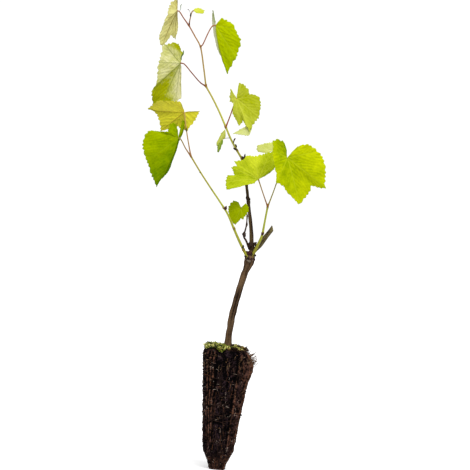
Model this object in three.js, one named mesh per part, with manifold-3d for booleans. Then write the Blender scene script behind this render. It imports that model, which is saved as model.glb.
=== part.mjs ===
// A young grapevine raised in a cell tray, lifted out and stood on its bare root plug.
// Millimetres, +Z up. The origin is the middle of the plug's flat foot.
import * as THREE from 'three';
import { mergeVertices } from 'three/addons/utils/BufferGeometryUtils.js';
import Module from 'manifold-3d';

// Driving dimensions
const plugHeight = 146;        // foot to the flat top of the root plug
const plugRim = 30.5;          // half-width just under the top
const plugFoot = 9.6;          // half-width of the flat foot
const plugSquareness = 5;      // 2 would be a round plug
const grooveDepth = 1.8;       // ribs of the cell tray pressed into the plug
const grooveCount = 12;
const grooveStart = [20, 40];  // heights between which the grooves deepen
const stalkRadii = [0.9, 0.7];
const stalkSides = 6;
const seatGap = 0.3;           // air between two pieces that touch
const bladeThickness = 1.0;    // leaf blade, solid for handling
const archHeight = 0.3;        // how far a blade domes between stalk and margin
const toothDepth = 0.025;      // share of the vein length, in and out
const bendSlack = 0.35;        // how freely a blade curves from one vein to the next
const domeSpread = 0.45;       // how much of a vein's dome its neighbours share
const bulgeShape = 0.8;        // below 1 swells the margin close to the veins
const notchReach = 0.1;        // length of the blade's cut edge, as a share of its end vein
const notchBulge = 0.15;
const columnStep = 9;          // degrees of leaf between two columns of the blade
const ringsPerVein = 3;
const ringsPerStep = 2;        // rings of a limb for each of its steps

// Half-width of the plug at each height, from the foot to the crumbled rim
const plugProfile = [
  [0, plugFoot], [4, plugFoot + 0.4], [11, 12], [18, 15.8], [25, 18.6], [34, 19.8], [62, 22.6],
  [90, 25.4], [118, 28.2], [134, 29.9], [plugHeight - 6, plugRim], [plugHeight - 2, 29.6], [plugHeight, 27],
];

// A limb is a chain of steps: length, lean from straight up towards +X, lean towards +Y.
// It starts at a point, or at an offset from the tip of the limb that bears it.
const limbs = {
  trunk: { at: [-1.4, 0, plugHeight + seatGap], sides: 12, look: 'old_wood', flatFoot: true,
    steps: [[23.5, -1, 0], [23.5, 5, 0], [25.6, 10, 0], [24.2, 12.5, 0], [15.6, 14, 0], [9.3, 5, 0],
      [6.5, -3, 9]],
    radii: [4.5, 4.2, 4.1, 4.1, 4.4, 5.3, 5.6, 3.4] },
  cane_stub: { from: 'trunk', offset: [1.8, -1, -5.9], sides: 10, look: 'old_wood', cutFace: [72, 5],
    steps: [[11, 39, 5], [14, 32, 4], [14, 31, 4]], radii: [3.6, 3.4, 3.0, 2.7] },
  old_cane: { from: 'trunk', offset: [0.2, 0, -2.5], sides: 10, look: 'old_wood',
    steps: [[21.5, -6, 5], [21, -11, 3], [18.5, -13, 3], [14.5, -12, 0], [16, -13, 0], [18.5, -15, 0]],
    radii: [3.0, 2.6, 2.5, 2.4, 2.2, 2.1, 2.3] },
  right_shoot: { from: 'trunk', offset: [1.7, -3, -11.5], sides: 8, look: 'green_shoot',
    steps: [[20.5, 20, -17], [10.5, 16, -5], [17, 5, -7], [17.5, 5, -3]], radii: [2.2, 1.8, 1.7, 1.4, 1.3] },
  left_shoot: { from: 'trunk', offset: [-3.1, -3, -13.2], sides: 8, look: 'green_shoot',
    steps: [[19.5, -33, -12], [19, -30, -12], [21, -29, -11], [19, -38, -12], [19.5, -40, -12],
      [23, -39, -15], [23, -37, -10]],
    radii: [2.2, 1.8, 1.6, 1.5, 1.4, 1.25, 1.1, 1.0] },
  side_twig: { from: 'trunk', offset: [-2.4, -2, -2.1], sides: 8, look: 'old_wood',
    steps: [[11.5, -27, -26], [7, -34, -16], [6.5, 8, 0], [7, 8, 0], [10.5, -1, 0]],
    radii: [1.6, 1.2, 1.1, 1.0, 0.9, 0.7] },
  long_shoot_lower: { from: 'old_cane', sides: 8, look: 'green_shoot',
    steps: [[15.5, -37, 0], [14, -34, -4], [16, -29, 0], [20, -29, 3], [19, -32, 3], [17, -35, 7]],
    radii: [1.6, 1.5, 1.4, 1.4, 1.3, 1.25, 1.2] },
  long_shoot_upper: { from: 'long_shoot_lower', sides: 8, look: 'green_shoot',
    steps: [[23, -13, 5], [26.5, -15, 4], [15.5, -33, 8], [14.5, -35, 4]], radii: [1.15, 1.05, 0.95, 0.85, 0.8] },
};

// A stalk carries one leaf. It starts at the end of a limb, or after the given number of its steps.
const stalks = {
  stalk_broad: { from: 'right_shoot', steps: [[16, 15, -11], [26.5, 14, -8], [22, 18, -12]] },
  stalk_cupped: { from: 'right_shoot', steps: [[18, -25, 3], [17.5, -24, 10]] },
  stalk_middle: { from: 'long_shoot_lower', after: 3, steps: [[15.5, 15, 7], [13.5, 13, -8], [12, 21, -49]] },
  stalk_upper_left: { from: 'long_shoot_lower',
    steps: [[8.5, -63, -14], [15.5, -48, -11], [14.5, -47, -12], [5, -79, 17]] },
  stalk_upper_right: { from: 'long_shoot_upper', after: 2,
    steps: [[4, 40, 0], [16, 19, 4], [9.5, 25, 2], [4.5, 68, 7]] },
  stalk_top: { from: 'long_shoot_upper', steps: [[11, -42, -10], [10, -40, -12], [3, -81, -19]] },
  stalk_sprout: { from: 'long_shoot_upper', steps: [[6, 1, 10], [5.5, 6, 10], [6.5, 9, 9], [2.5, 44, 0]] },
  stalk_lower_left: { from: 'left_shoot', steps: [[11, -40, -11], [13, -34, -13], [3.5, -67, -16]] },
  stalk_folded: { from: 'left_shoot', steps: [[14, -16, -16], [17, -15, -7], [23.5, -13, 12]] },
  stalk_heart: { from: 'side_twig', steps: [[4.5, -14, 13], [5, -48, 0], [5, -54, -18]] },
};

// A leaf is a fan of veins and bays round the end of its stalk, from one side of the stalk's notch
// to the other: side from straight down towards +X, back towards +Y, length.
// bulge swells the margin between one vein and the next; notch opens the fan past its end veins.
const leaves = {
  leaf_broad: { on: 'stalk_broad', notch: 6,
    bulge: [0.03, 0.06, 0.04, 0, 0.03, 0.05, 0.03, 0.09, 0.06, 0.03],
    veins: [[-165, -13, 18], [-151, -21, 24.5], [-126, -30, 28], [-20, -33, 40], [0, -13, 36.5],
      [20, 4, 58.5], [47, 7, 44], [58, 6, 59.5], [103, 7, 41], [131, 2, 27.5], [143, -3, 18.5]] },
  leaf_cupped: { on: 'stalk_cupped', notch: 10, bulge: [0.08, 0.05, 0, 0, 0.05, 0, 0, 0.05, 0.05, 0.05],
    veins: [[142, 5, 23], [167, 24, 49], [-174, 26, 45.5], [-169, 19, 30], [-145, 5, 31.5],
      [-117, 2, 35.5], [-97, -3, 35], [-78, -10, 41], [-64, -19, 41], [-54, -38, 27.5],
      [-25, -59, 11.5]] },
  leaf_middle: { on: 'stalk_middle', notch: 10,
    bulge: [0.08, 0, 0.05, 0, 0, 0, 0, 0, 0.08, 0.12, 0.1, 0.1],
    veins: [[-144, 27, 17.5], [-65, 33, 11], [-11, 0, 17], [10, -7, 34], [21, -10, 29],
      [26, -11, 36.5], [27, -10, 44.5], [36, -7, 38.5], [56, -7, 35.5], [100, -4, 26.5],
      [114, -4, 15.5], [148, -6, 18], [180, -6, 18.5]] },
  leaf_middle_tip: { on: 'leaf_middle', after: 7, notch: 8, bulge: [0.05, 0.02, 0.02, 0.05],
    veins: [[-15, -9, 12.5], [-44, -12, 18], [-61, -10, 26], [-66, -8, 16.5], [-95, -2, 5]] },
  leaf_upper_right: { on: 'stalk_upper_right', notch: 12, bulge: [0.1, 0.1, 0, 0, 0, 0.03, 0.03, 0.02],
    veins: [[-161, 17, 21], [-146, 77, 20.5], [19, 46, 33.5], [17, 0, 63.5], [27, -2, 52.5],
      [39, -5, 47.5], [66, -10, 36], [105, -15, 20], [145, -20, 11.5]] },
  leaf_lower_left: { on: 'stalk_lower_left', notch: 5,
    bulge: [0.08, 0, 0.03, 0.1, 0.02, 0.02, 0, 0.1, 0.1],
    veins: [[-166, -4, 16], [-143, -9, 19.5], [-112, -20, 14.5], [-98, -13, 34.5], [-68, -13, 44.5],
      [-37, -8, 50.5], [-16, -2, 64.5], [-13, 39, 34.5], [100, 86, 22], [170, 13, 21.5]] },
  leaf_folded: { on: 'stalk_folded', notch: 12, bulge: [0.03, 0, 0.04, -0.06, 0.03, 0.05, 0],
    veins: [[100, 24, 19.5], [16, 16, 21], [-20, 24, 20], [-47, 16, 36.5], [-84, 10, 35.5],
      [-90, 5, 44], [-112, 24, 35], [-154, 41, 18.5]] },
  leaf_upper_left: { on: 'stalk_upper_left', notch: 12, bulge: [0.05, 0, 0, 0, 0, 0, 0, 0.08],
    veins: [[5, 16, 42.5], [-7, 5, 47.5], [-25, 2, 63], [-38, -7, 51.5], [-43, -11, 40.5],
      [-84, -21, 27.5], [-129, -11, 30.5], [-161, -5, 25.5], [177, 39, 19]] },
  leaf_top: { on: 'stalk_top', notch: 12, bulge: [0.05, 0, 0.05, 0.05, 0, 0, 0.05],
    veins: [[10, 27, 17.5], [2, 13, 35], [-9, 10, 30], [-17, 0, 48], [-30, -6, 36.5],
      [-46, -19, 19], [-134, -10, 12], [-177, 20, 17.5]] },
  leaf_bud: { on: 'long_shoot_lower', after: 3, offset: [-0.7, -1, -3], notch: 12,
    bulge: [-0.15, 0.1, 0.05, -0.1],
    veins: [[-26, -20, 9], [-24, -5, 23], [-12, 0, 31.5], [-8, 10, 24], [10, 22, 10.5]] },
  leaf_heart: { on: 'stalk_heart', notch: 8, bulge: [0.05, 0.06, 0.04, 0.04, 0.03, 0, 0.06, 0.05],
    veins: [[-149, 8, 7], [-129, 10, 12], [-88, 15, 15.5], [-47, 15, 19], [-13, 5, 22.5],
      [7, -5, 12.5], [16, -4, 15.5], [87, -12, 10], [137, -7, 8]] },
  leaf_sprout: { on: 'stalk_sprout', notch: 10, bulge: [0.05, 0, 0, 0.05],
    veins: [[50, -37, 5], [76, -13, 13], [97, 0, 13.5], [128, 28, 8.5], [158, 45, 4]] },
};

const looks = {
  root_ball: { color: 0x2a1c12, roughness: 0.95 },
  old_wood: { color: 0x5b4636, roughness: 0.85 },
  green_shoot: { color: 0x9a9a2e, roughness: 0.55 },
  stalk: { color: 0xb0703c, roughness: 0.55 },
  leaf: { color: 0x9fb51e, roughness: 0.5 },
};

const wasm = await Module();
wasm.setup();

// Unit vector that leans from straight up towards +X, and towards +Y
function heading(lean, back) {
  const a = THREE.MathUtils.degToRad(lean);
  const b = THREE.MathUtils.degToRad(back);
  return new THREE.Vector3(Math.sin(a) * Math.cos(b), Math.sin(b), Math.cos(a) * Math.cos(b));
}

function closedGeometry(points, triangles) {
  const geometry = new THREE.BufferGeometry();
  const places = points.flatMap((point) => point.toArray());
  geometry.setAttribute('position', new THREE.Float32BufferAttribute(places, 3));
  geometry.setIndex(triangles);
  return geometry;
}

function toSolid(geometry) {
  const bare = geometry.clone();
  bare.deleteAttribute('normal');
  bare.deleteAttribute('uv');
  const merged = mergeVertices(bare, 1e-4);
  const vertProperties = new Float32Array(merged.attributes.position.array);
  const triVerts = new Uint32Array(merged.index.array);
  return new wasm.Manifold(new wasm.Mesh({ numProp: 3, vertProperties, triVerts }));
}

function toGeometry(solid) {
  const mesh = solid.getMesh();
  const geometry = new THREE.BufferGeometry();
  const places = new Float32Array(mesh.vertProperties);
  geometry.setAttribute('position', new THREE.BufferAttribute(places, 3));
  geometry.setIndex([...mesh.triVerts]);
  return geometry;
}

// The piece with its neighbours' room taken away; of what is left, the largest body
function trimmed(geometry, rooms) {
  let solid = toSolid(geometry);
  for (const room of rooms) solid = solid.subtract(toSolid(room));
  const bodies = solid.decompose();
  bodies.sort((a, b) => b.volume() - a.volume());
  return toGeometry(bodies[0]);
}

// Points of a limb or stalk, from its start to its tip
function routeOf(limb, start) {
  const points = [start.clone()];
  for (const [length, lean, back] of limb.steps) {
    points.push(points.at(-1).clone().addScaledVector(heading(lean, back), length));
  }
  return points;
}

// A round limb that tapers along a smooth curve through its route, closed by a flat cut at each end.
// Room is what it is thickened by all round.
function limbGeometry(limb, route, room) {
  const curve = new THREE.CatmullRomCurve3(route, false, 'centripetal');
  const last = limb.steps.length * ringsPerStep;
  const points = [];
  let side = new THREE.Vector3(1, 0, 0);
  for (let ring = 0; ring <= last; ring += 1) {
    const t = ring / last;
    const centre = curve.getPoint(t);
    const along = curve.getTangent(t);
    const place = t * (limb.radii.length - 1);
    const low = Math.min(Math.floor(place), limb.radii.length - 2);
    const radius = THREE.MathUtils.lerp(limb.radii[low], limb.radii[low + 1], place - low) + room;
    let face = along.clone();
    if (ring === 0 && limb.flatFoot) face = new THREE.Vector3(0, 0, 1);
    if (ring === last && limb.cutFace) face = heading(...limb.cutFace);
    side = side.clone().addScaledVector(along, -side.dot(along)).normalize();
    const other = new THREE.Vector3().crossVectors(along, side);
    if (ring === 0) centre.addScaledVector(along, -room);
    if (ring === last) centre.addScaledVector(along, room);
    for (let k = 0; k < limb.sides; k += 1) {
      const angle = (2 * Math.PI * k) / limb.sides;
      const out = side.clone().multiplyScalar(Math.cos(angle) * radius);
      out.addScaledVector(other, Math.sin(angle) * radius);
      out.addScaledVector(along, -out.dot(face) / along.dot(face));   // slides the point onto the cut
      points.push(centre.clone().add(out));
    }
  }
  const triangles = [];
  for (let ring = 0; ring < last; ring += 1) {
    for (let k = 0; k < limb.sides; k += 1) {
      const a = ring * limb.sides + k;
      const b = ring * limb.sides + ((k + 1) % limb.sides);
      triangles.push(a, b, b + limb.sides, a, b + limb.sides, a + limb.sides);
    }
  }
  for (let k = 1; k < limb.sides - 1; k += 1) {
    const top = last * limb.sides;
    triangles.push(0, k + 1, k, top, top + k, top + k + 1);
  }
  return closedGeometry(points, triangles);
}

// Smooth blend of four neighbouring vectors at share f between the middle two
function blend([a, b, c, d], f) {
  const f2 = f * f;
  const f3 = f2 * f;
  const sum = b.clone().multiplyScalar(2 * f3 - 3 * f2 + 1);
  sum.addScaledVector(c, 3 * f2 - 2 * f3);
  sum.addScaledVector(c.clone().sub(a), bendSlack * (f3 - 2 * f2 + f));
  return sum.addScaledVector(d.clone().sub(b), bendSlack * (f3 - f2));
}

// Middle surface of a blade: one column of points for each direction of the fan, from stalk to margin
function bladeColumns(leaf, centre) {
  const headings = leaf.veins.map(([side, back]) => heading(180 - side, back));
  const lengths = leaf.veins.map((vein) => vein[2]);
  const past = (a, b) => {
    const axis = new THREE.Vector3().crossVectors(a, b).normalize();
    return b.clone().applyAxisAngle(axis, THREE.MathUtils.degToRad(leaf.notch));
  };
  const count = headings.length;
  const upward = headings.map((_, k) => {      // the blade's upper side near each vein
    const sum = new THREE.Vector3();
    for (let j = 0; j < count - 1; j += 1) {
      const weight = domeSpread ** Math.min(Math.abs(j - k), Math.abs(j + 1 - k));
      const normal = new THREE.Vector3().crossVectors(headings[j], headings[j + 1]);
      sum.addScaledVector(normal, weight);
    }
    return sum.normalize();
  });
  const edges = [past(headings[1], headings[0]), past(headings[count - 2], headings[count - 1])];
  const fan = [edges[0], ...headings, edges[1]];
  const domes = [new THREE.Vector3(), ...upward, new THREE.Vector3()];
  const reach = [lengths[0] * notchReach, ...lengths, lengths[count - 1] * notchReach];
  const columns = [];
  for (let k = 0; k < fan.length - 1; k += 1) {
    const wide = fan[k].angleTo(fan[k + 1]);
    const bulge = leaf.bulge[k - 1] ?? notchBulge;
    const steps = Math.max(1, Math.round(THREE.MathUtils.radToDeg(wide) / columnStep));
    for (let i = k ? 1 : 0; i <= steps; i += 1) {
      const f = i / steps;
      const near = [Math.max(k - 1, 0), k, k + 1, Math.min(k + 2, fan.length - 1)];
      const four = (list) => near.map((j) => list[j]);
      const out = blend(four(fan), f).normalize();
      const dome = blend(four(domes), f);
      const straight = Math.sin(f * wide) / reach[k + 1] + Math.sin((1 - f) * wide) / reach[k];
      const tooth = 1 + (columns.length % 2 ? -toothDepth : toothDepth);
      const swell = 1 + bulge * Math.sin(Math.PI * f) ** bulgeShape;
      const radius = (Math.sin(wide) / straight) * swell * tooth;
      const column = [];
      for (let ring = 1; ring <= ringsPerVein; ring += 1) {
        const s = ring / ringsPerVein;
        const point = centre.clone().addScaledVector(out, radius * s);
        column.push(point.addScaledVector(dome, (radius * archHeight * (s - s * s)) / 2));
      }
      columns.push(column);
    }
  }
  return columns;
}

// A closed blade of even thickness about its middle surface, thickened all round by its room
function bladeGeometry(leaf, centre, room) {
  const columns = bladeColumns(leaf, centre);
  const facing = (a, b, c) => new THREE.Vector3().crossVectors(b.clone().sub(a), c.clone().sub(a));
  const last = columns.length - 1;
  const unit = (a, b) => b.clone().sub(a).normalize();
  const outward = new THREE.Vector3();
  for (const column of columns) outward.add(unit(centre, column[0]));
  const middle = [centre.clone().addScaledVector(outward.normalize(), -room)];
  const normals = [new THREE.Vector3()];
  for (let c = 0; c < last; c += 1) {
    normals[0].add(facing(centre, columns[c][0], columns[c + 1][0]).normalize());
  }
  columns.forEach((column, c) => column.forEach((point, ring) => {
    const before = columns[Math.max(c - 1, 0)][ring];
    const after = columns[Math.min(c + 1, last)][ring];
    const inner = ring ? column[ring - 1] : centre;
    const outer = column[Math.min(ring + 1, ringsPerVein - 1)];
    const along = outer.clone().sub(inner).normalize();
    const first = new THREE.Vector3().crossVectors(along, point.clone().sub(before)).normalize();
    const second = new THREE.Vector3().crossVectors(along, after.clone().sub(point)).normalize();
    normals.push(first.add(second));
    const inside = c === 0 ? after : before;
    const grown = point.clone().addScaledVector(unit(centre, point), room);
    if (c === 0 || c === last) grown.addScaledVector(unit(inside, point), room);
    middle.push(grown);
  }));
  const heart = normals[0].clone().normalize();
  const points = [];
  for (const half of [bladeThickness / 2 + room, -bladeThickness / 2 - room]) {
    middle.forEach((point, i) => {
      const share = i ? (((i - 1) % ringsPerVein) + 1) / ringsPerVein : 0;
      const normal = normals[i].clone().normalize().multiplyScalar(share).addScaledVector(heart, 1 - share);
      points.push(point.clone().addScaledVector(normal.normalize(), half));
    });
  }
  const under = middle.length;
  const at = (c, ring) => (ring ? c * ringsPerVein + ring : 0);
  const triangles = [];
  const quad = (a, b, c, d) => triangles.push(a, b, c, a, c, d);
  for (let c = 0; c < last; c += 1) {
    triangles.push(0, at(c, 1), at(c + 1, 1), under, under + at(c + 1, 1), under + at(c, 1));
    for (let ring = 1; ring < ringsPerVein; ring += 1) {
      quad(at(c, ring), at(c, ring + 1), at(c + 1, ring + 1), at(c + 1, ring));
      quad(under + at(c, ring), under + at(c + 1, ring), under + at(c + 1, ring + 1), under + at(c, ring + 1));
    }
    const rim = ringsPerVein;
    quad(at(c, rim), under + at(c, rim), under + at(c + 1, rim), at(c + 1, rim));
  }
  for (let ring = 0; ring < ringsPerVein; ring += 1) {
    quad(at(0, ring), under + at(0, ring), under + at(0, ring + 1), at(0, ring + 1));
    quad(at(last, ring + 1), under + at(last, ring + 1), under + at(last, ring), at(last, ring));
  }
  return closedGeometry(points, triangles);
}

// The root plug: rounded-square rings with the tray's ribs pressed in, a flat foot and a flat top
function plugGeometry() {
  const around = grooveCount * 4;
  const points = [];
  for (const [height, half] of plugProfile) {
    const ribbed = THREE.MathUtils.smoothstep(height, ...grooveStart) * (height > plugHeight - 4 ? 0 : 1);
    for (let k = 0; k < around; k += 1) {
      const angle = (2 * Math.PI * k) / around;
      const powers = [Math.cos(angle), Math.sin(angle)].map((share) => Math.abs(share) ** plugSquareness);
      const square = (powers[0] + powers[1]) ** (-1 / plugSquareness);
      const groove = Math.max(0, Math.cos(angle * grooveCount)) ** 2 * grooveDepth * ribbed;
      const radius = half * square - groove;
      points.push(new THREE.Vector3(radius * Math.cos(angle), radius * Math.sin(angle), height));
    }
  }
  const rings = plugProfile.length;
  const foot = points.push(new THREE.Vector3(0, 0, 0)) - 1;
  const top = points.push(new THREE.Vector3(0, 0, plugHeight)) - 1;
  const triangles = [];
  for (let k = 0; k < around; k += 1) {
    const next = (k + 1) % around;
    triangles.push(foot, next, k, top, (rings - 1) * around + k, (rings - 1) * around + next);
    for (let ring = 0; ring < rings - 1; ring += 1) {
      const a = ring * around + k;
      const b = ring * around + next;
      triangles.push(a, b, b + around, a, b + around, a + around);
    }
  }
  return closedGeometry(points, triangles);
}

const vine = new THREE.Group();
const routes = {};
const rooms = {};        // what each piece keeps clear of its neighbours

function addMesh(name, geometry, look) {
  const flat = geometry.toNonIndexed();
  flat.computeVertexNormals();
  const material = new THREE.MeshStandardMaterial({ ...looks[look], metalness: 0, side: THREE.DoubleSide });
  const mesh = new THREE.Mesh(flat, material);
  mesh.name = name;
  vine.add(mesh);
}

// Adds a piece of the plant, less the room of every piece before it
function addPiece(name, look, shape) {
  addMesh(name, trimmed(shape(0), Object.values(rooms)), look);
  rooms[name] = shape(seatGap);
}

function startOf(piece) {
  if (piece.at) return new THREE.Vector3(...piece.at);
  const route = routes[piece.from ?? piece.on];
  const point = route[piece.after ?? route.length - 1];
  return point.clone().add(new THREE.Vector3(...(piece.offset ?? [0, 0, 0])));
}

addMesh('root_ball', plugGeometry(), 'root_ball');

for (const [name, limb] of Object.entries(limbs)) {
  routes[name] = routeOf(limb, startOf(limb));
  addPiece(name, limb.look, (room) => limbGeometry(limb, routes[name], room));
}

for (const [name, stalk] of Object.entries(stalks)) routes[name] = routeOf(stalk, startOf(stalk));

for (const [name, leaf] of Object.entries(leaves)) {
  const centre = startOf(leaf);
  const tip = ([side, back, length]) => centre.clone().addScaledVector(heading(180 - side, back), length);
  routes[name] = leaf.veins.map(tip);
  addPiece(name, 'leaf', (room) => bladeGeometry(leaf, centre, room));
}

for (const [name, stalk] of Object.entries(stalks)) {
  const limb = { ...stalk, sides: stalkSides, radii: stalkRadii };
  addPiece(name, 'stalk', (room) => limbGeometry(limb, routes[name], room));
}

export default vine;
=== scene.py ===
import bpy
import numpy as np
from mathutils import Matrix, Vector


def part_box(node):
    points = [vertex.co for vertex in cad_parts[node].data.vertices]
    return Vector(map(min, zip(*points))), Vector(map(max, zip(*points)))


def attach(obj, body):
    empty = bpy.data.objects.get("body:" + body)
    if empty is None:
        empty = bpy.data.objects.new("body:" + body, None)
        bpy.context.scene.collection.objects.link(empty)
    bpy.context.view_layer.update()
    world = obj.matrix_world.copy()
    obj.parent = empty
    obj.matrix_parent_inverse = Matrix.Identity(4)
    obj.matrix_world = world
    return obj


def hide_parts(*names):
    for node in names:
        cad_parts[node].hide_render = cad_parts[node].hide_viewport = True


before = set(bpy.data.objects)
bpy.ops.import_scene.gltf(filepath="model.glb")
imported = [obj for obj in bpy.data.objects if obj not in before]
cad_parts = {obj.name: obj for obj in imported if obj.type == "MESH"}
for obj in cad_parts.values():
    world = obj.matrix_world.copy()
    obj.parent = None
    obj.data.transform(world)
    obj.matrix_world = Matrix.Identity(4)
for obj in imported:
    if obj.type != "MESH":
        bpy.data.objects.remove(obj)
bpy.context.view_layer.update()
mm = 0.001


def linear(hexColour):
    # sRGB hex to linear red, green, blue and alpha
    shares = np.array([int(hexColour[i:i + 2], 16) / 255 for i in (0, 2, 4)])
    shares = np.where(shares <= 0.04045, shares / 12.92, ((shares + 0.055) / 1.055) ** 2.4)
    return (*shares.tolist(), 1.0)


def wire(tree, node, links):
    # a link is a socket of the node and its source: an output, or a node whose first output it is
    for key, source in links.items():
        tree.links.new(getattr(source, "outputs", [source])[0], node.inputs[key])


def addNode(tree, kind, settings=None, links=None):
    # one node; a setting is an attribute of the node, or the name or number of a socket
    node = tree.nodes.new("ShaderNode" + kind)
    for key, value in (settings or {}).items():
        if isinstance(key, str) and hasattr(node, key):
            setattr(node, key, value)
        else:
            node.inputs[key].default_value = value
    wire(tree, node, links or {})
    return node


def newMaterial(name, settings, reads=()):
    # the material, its node tree, its shader, and an output for each attribute that it reads
    material = bpy.data.materials.new(name)
    material.use_nodes = True
    tree = material.node_tree
    tree.nodes.clear()
    shader = addNode(tree, "BsdfPrincipled", settings)
    addNode(tree, "OutputMaterial", links={"Surface": shader})
    outputs = [addNode(tree, "Attribute", {"attribute_name": key}).outputs["Fac"] for key in reads]
    return material, tree, shader, outputs


def unit(vectors):
    return vectors / np.maximum(np.linalg.norm(vectors, axis=-1, keepdims=True), 1e-9)


def heading(lean, back):
    # unit vector that leans from straight up towards +X, and towards +Y, both in degrees
    a, b = np.radians(lean), np.radians(back)
    return np.stack([np.sin(a) * np.cos(b), np.sin(b), np.cos(a) * np.cos(b)], axis=-1)


def softNoise(u, v, cellsU, cellsV, seed):
    # random heights on a lattice, joined by smooth steps; u and v run from 0 to 1, and u wraps round
    cellsU, cellsV = max(2, int(cellsU)), max(2, int(cellsV))
    lattice = np.random.default_rng(seed).uniform(-1, 1, (cellsU, cellsV + 2))
    x, y = (u % 1.0) * cellsU, np.clip(v, 0, 1) * cellsV
    i, j = np.floor(x).astype(int), np.floor(y).astype(int)
    fx, fy = x - i, y - j
    fx, fy = fx * fx * (3 - 2 * fx), fy * fy * (3 - 2 * fy)
    i, k = i % cellsU, (i + 1) % cellsU
    low = lattice[i, j] * (1 - fx) + lattice[k, j] * fx
    high = lattice[i, j + 1] * (1 - fx) + lattice[k, j + 1] * fx
    return low * (1 - fy) + high * fy


def putMesh(name, points, faces, material, slot, replaces=(), values=None, uv=None):
    # points in millimetres; faces is a list of index arrays, one row a face; values are read by the material
    mesh = bpy.data.meshes.new(name)
    points = np.asarray(points, float).reshape(-1, 3)
    mesh.vertices.add(len(points))
    mesh.vertices.foreach_set("co", (points * mm).astype(np.float32).ravel())
    corners = np.concatenate([face.astype(np.int32).ravel() for face in faces])
    sizes = np.concatenate([np.full(len(face), face.shape[1]) for face in faces])
    mesh.loops.add(len(corners))
    mesh.loops.foreach_set("vertex_index", corners)
    mesh.polygons.add(len(sizes))
    mesh.polygons.foreach_set("loop_start", (np.cumsum(sizes) - sizes).astype(np.int32))
    mesh.polygons.foreach_set("use_smooth", np.ones(len(sizes), bool))
    if uv is not None:
        mesh.uv_layers.new(name="flat").data.foreach_set("uv", uv[corners].astype(np.float32).ravel())
    for key, numbers in (values or {}).items():
        mesh.attributes.new(key, "FLOAT", "POINT").data.foreach_set("value", numbers.astype(np.float32))
    mesh.update(calc_edges=True)
    mesh.validate()
    mesh.materials.append(material)
    piece = bpy.data.objects.new(name, mesh)
    bpy.context.scene.collection.objects.link(piece)
    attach(piece, "root")
    for node in replaces:
        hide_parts(node)


def framed(name, data, axes, place):
    # a camera or light whose own x, y and z run along the three axes
    thing = bpy.data.objects.new(name, data)
    thing.matrix_world = Matrix([[*(axis[i] for axis in axes), place[i]] for i in range(3)] + [[0, 0, 0, 1]])
    bpy.context.scene.collection.objects.link(thing)
    return thing


# millimetres and degrees; sky, backdrop and sun are strengths
studio = {"aim": (-7.35, 0, 285.9), "distance": 2000, "roll": 6, "lens": 125.6,
          "sky": 0.6, "backdrop": 1.06, "sun": 1.9, "sunBlur": 45, "sunFrom": (0.25, -0.7, 1.0),
          "floorSide": 80000}

cameraData = bpy.data.cameras.new("camera")
cameraData.lens = studio["lens"]
cameraData.clip_end = 100
roll = np.radians(studio["roll"])
place = (np.array(studio["aim"]) - np.array([0, studio["distance"], 0])) * mm
bpy.context.scene.camera = framed("camera", cameraData, [
    (np.cos(roll), 0, np.sin(roll)), (-np.sin(roll), 0, np.cos(roll)), (0, -1, 0)], place)
bpy.context.scene.view_settings.view_transform = "Standard"

# the camera sees a pure white backdrop; the plant is lit by a softer white sky and a wide sun
world = bpy.data.worlds.new("whiteStudio")
bpy.context.scene.world = world
world.use_nodes = True
seen = addNode(world.node_tree, "LightPath")
skyLevel = addNode(world.node_tree, "MapRange", {"To Min": studio["sky"], "To Max": studio["backdrop"]},
                   {"Value": seen.outputs["Is Camera Ray"]})
background = world.node_tree.nodes["Background"]
background.inputs[0].default_value = (1, 1, 1, 1)
wire(world.node_tree, background, {1: skyLevel})

sunData = bpy.data.lights.new("sun", "SUN")
sunData.energy = studio["sun"]
sunData.angle = np.radians(studio["sunBlur"])
toSun = unit(np.array(studio["sunFrom"]))
sunSide = unit(np.cross([0, 0, 1], toSun))
framed("sun", sunData, [sunSide, np.cross(toSun, sunSide), toSun], toSun)

# white painted floor: matt, and bright enough of itself to melt into the backdrop
floorPaint = newMaterial("whitePaintedFloor", {
    "Base Color": linear("FFFFFF"), "Roughness": 1.0, "Specular IOR Level": 0.0,
    "Emission Color": (1, 1, 1, 1), "Emission Strength": 0.35})[0]
far = studio["floorSide"] / 2 * mm
floorMesh = bpy.data.meshes.new("floor")
floorMesh.from_pydata([(-far, -far, 0), (far, -far, 0), (far, far, 0), (-far, far, 0)], [], [(0, 1, 2, 3)])
floorMesh.materials.append(floorPaint)
floor = bpy.data.objects.new("floor", floorMesh)
bpy.context.scene.collection.objects.link(floor)
floor.visible_diffuse = False
print("stage: camera, floor and light")

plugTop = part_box("root_ball")[1].z / mm
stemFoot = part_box("trunk")[0].z / mm

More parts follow.
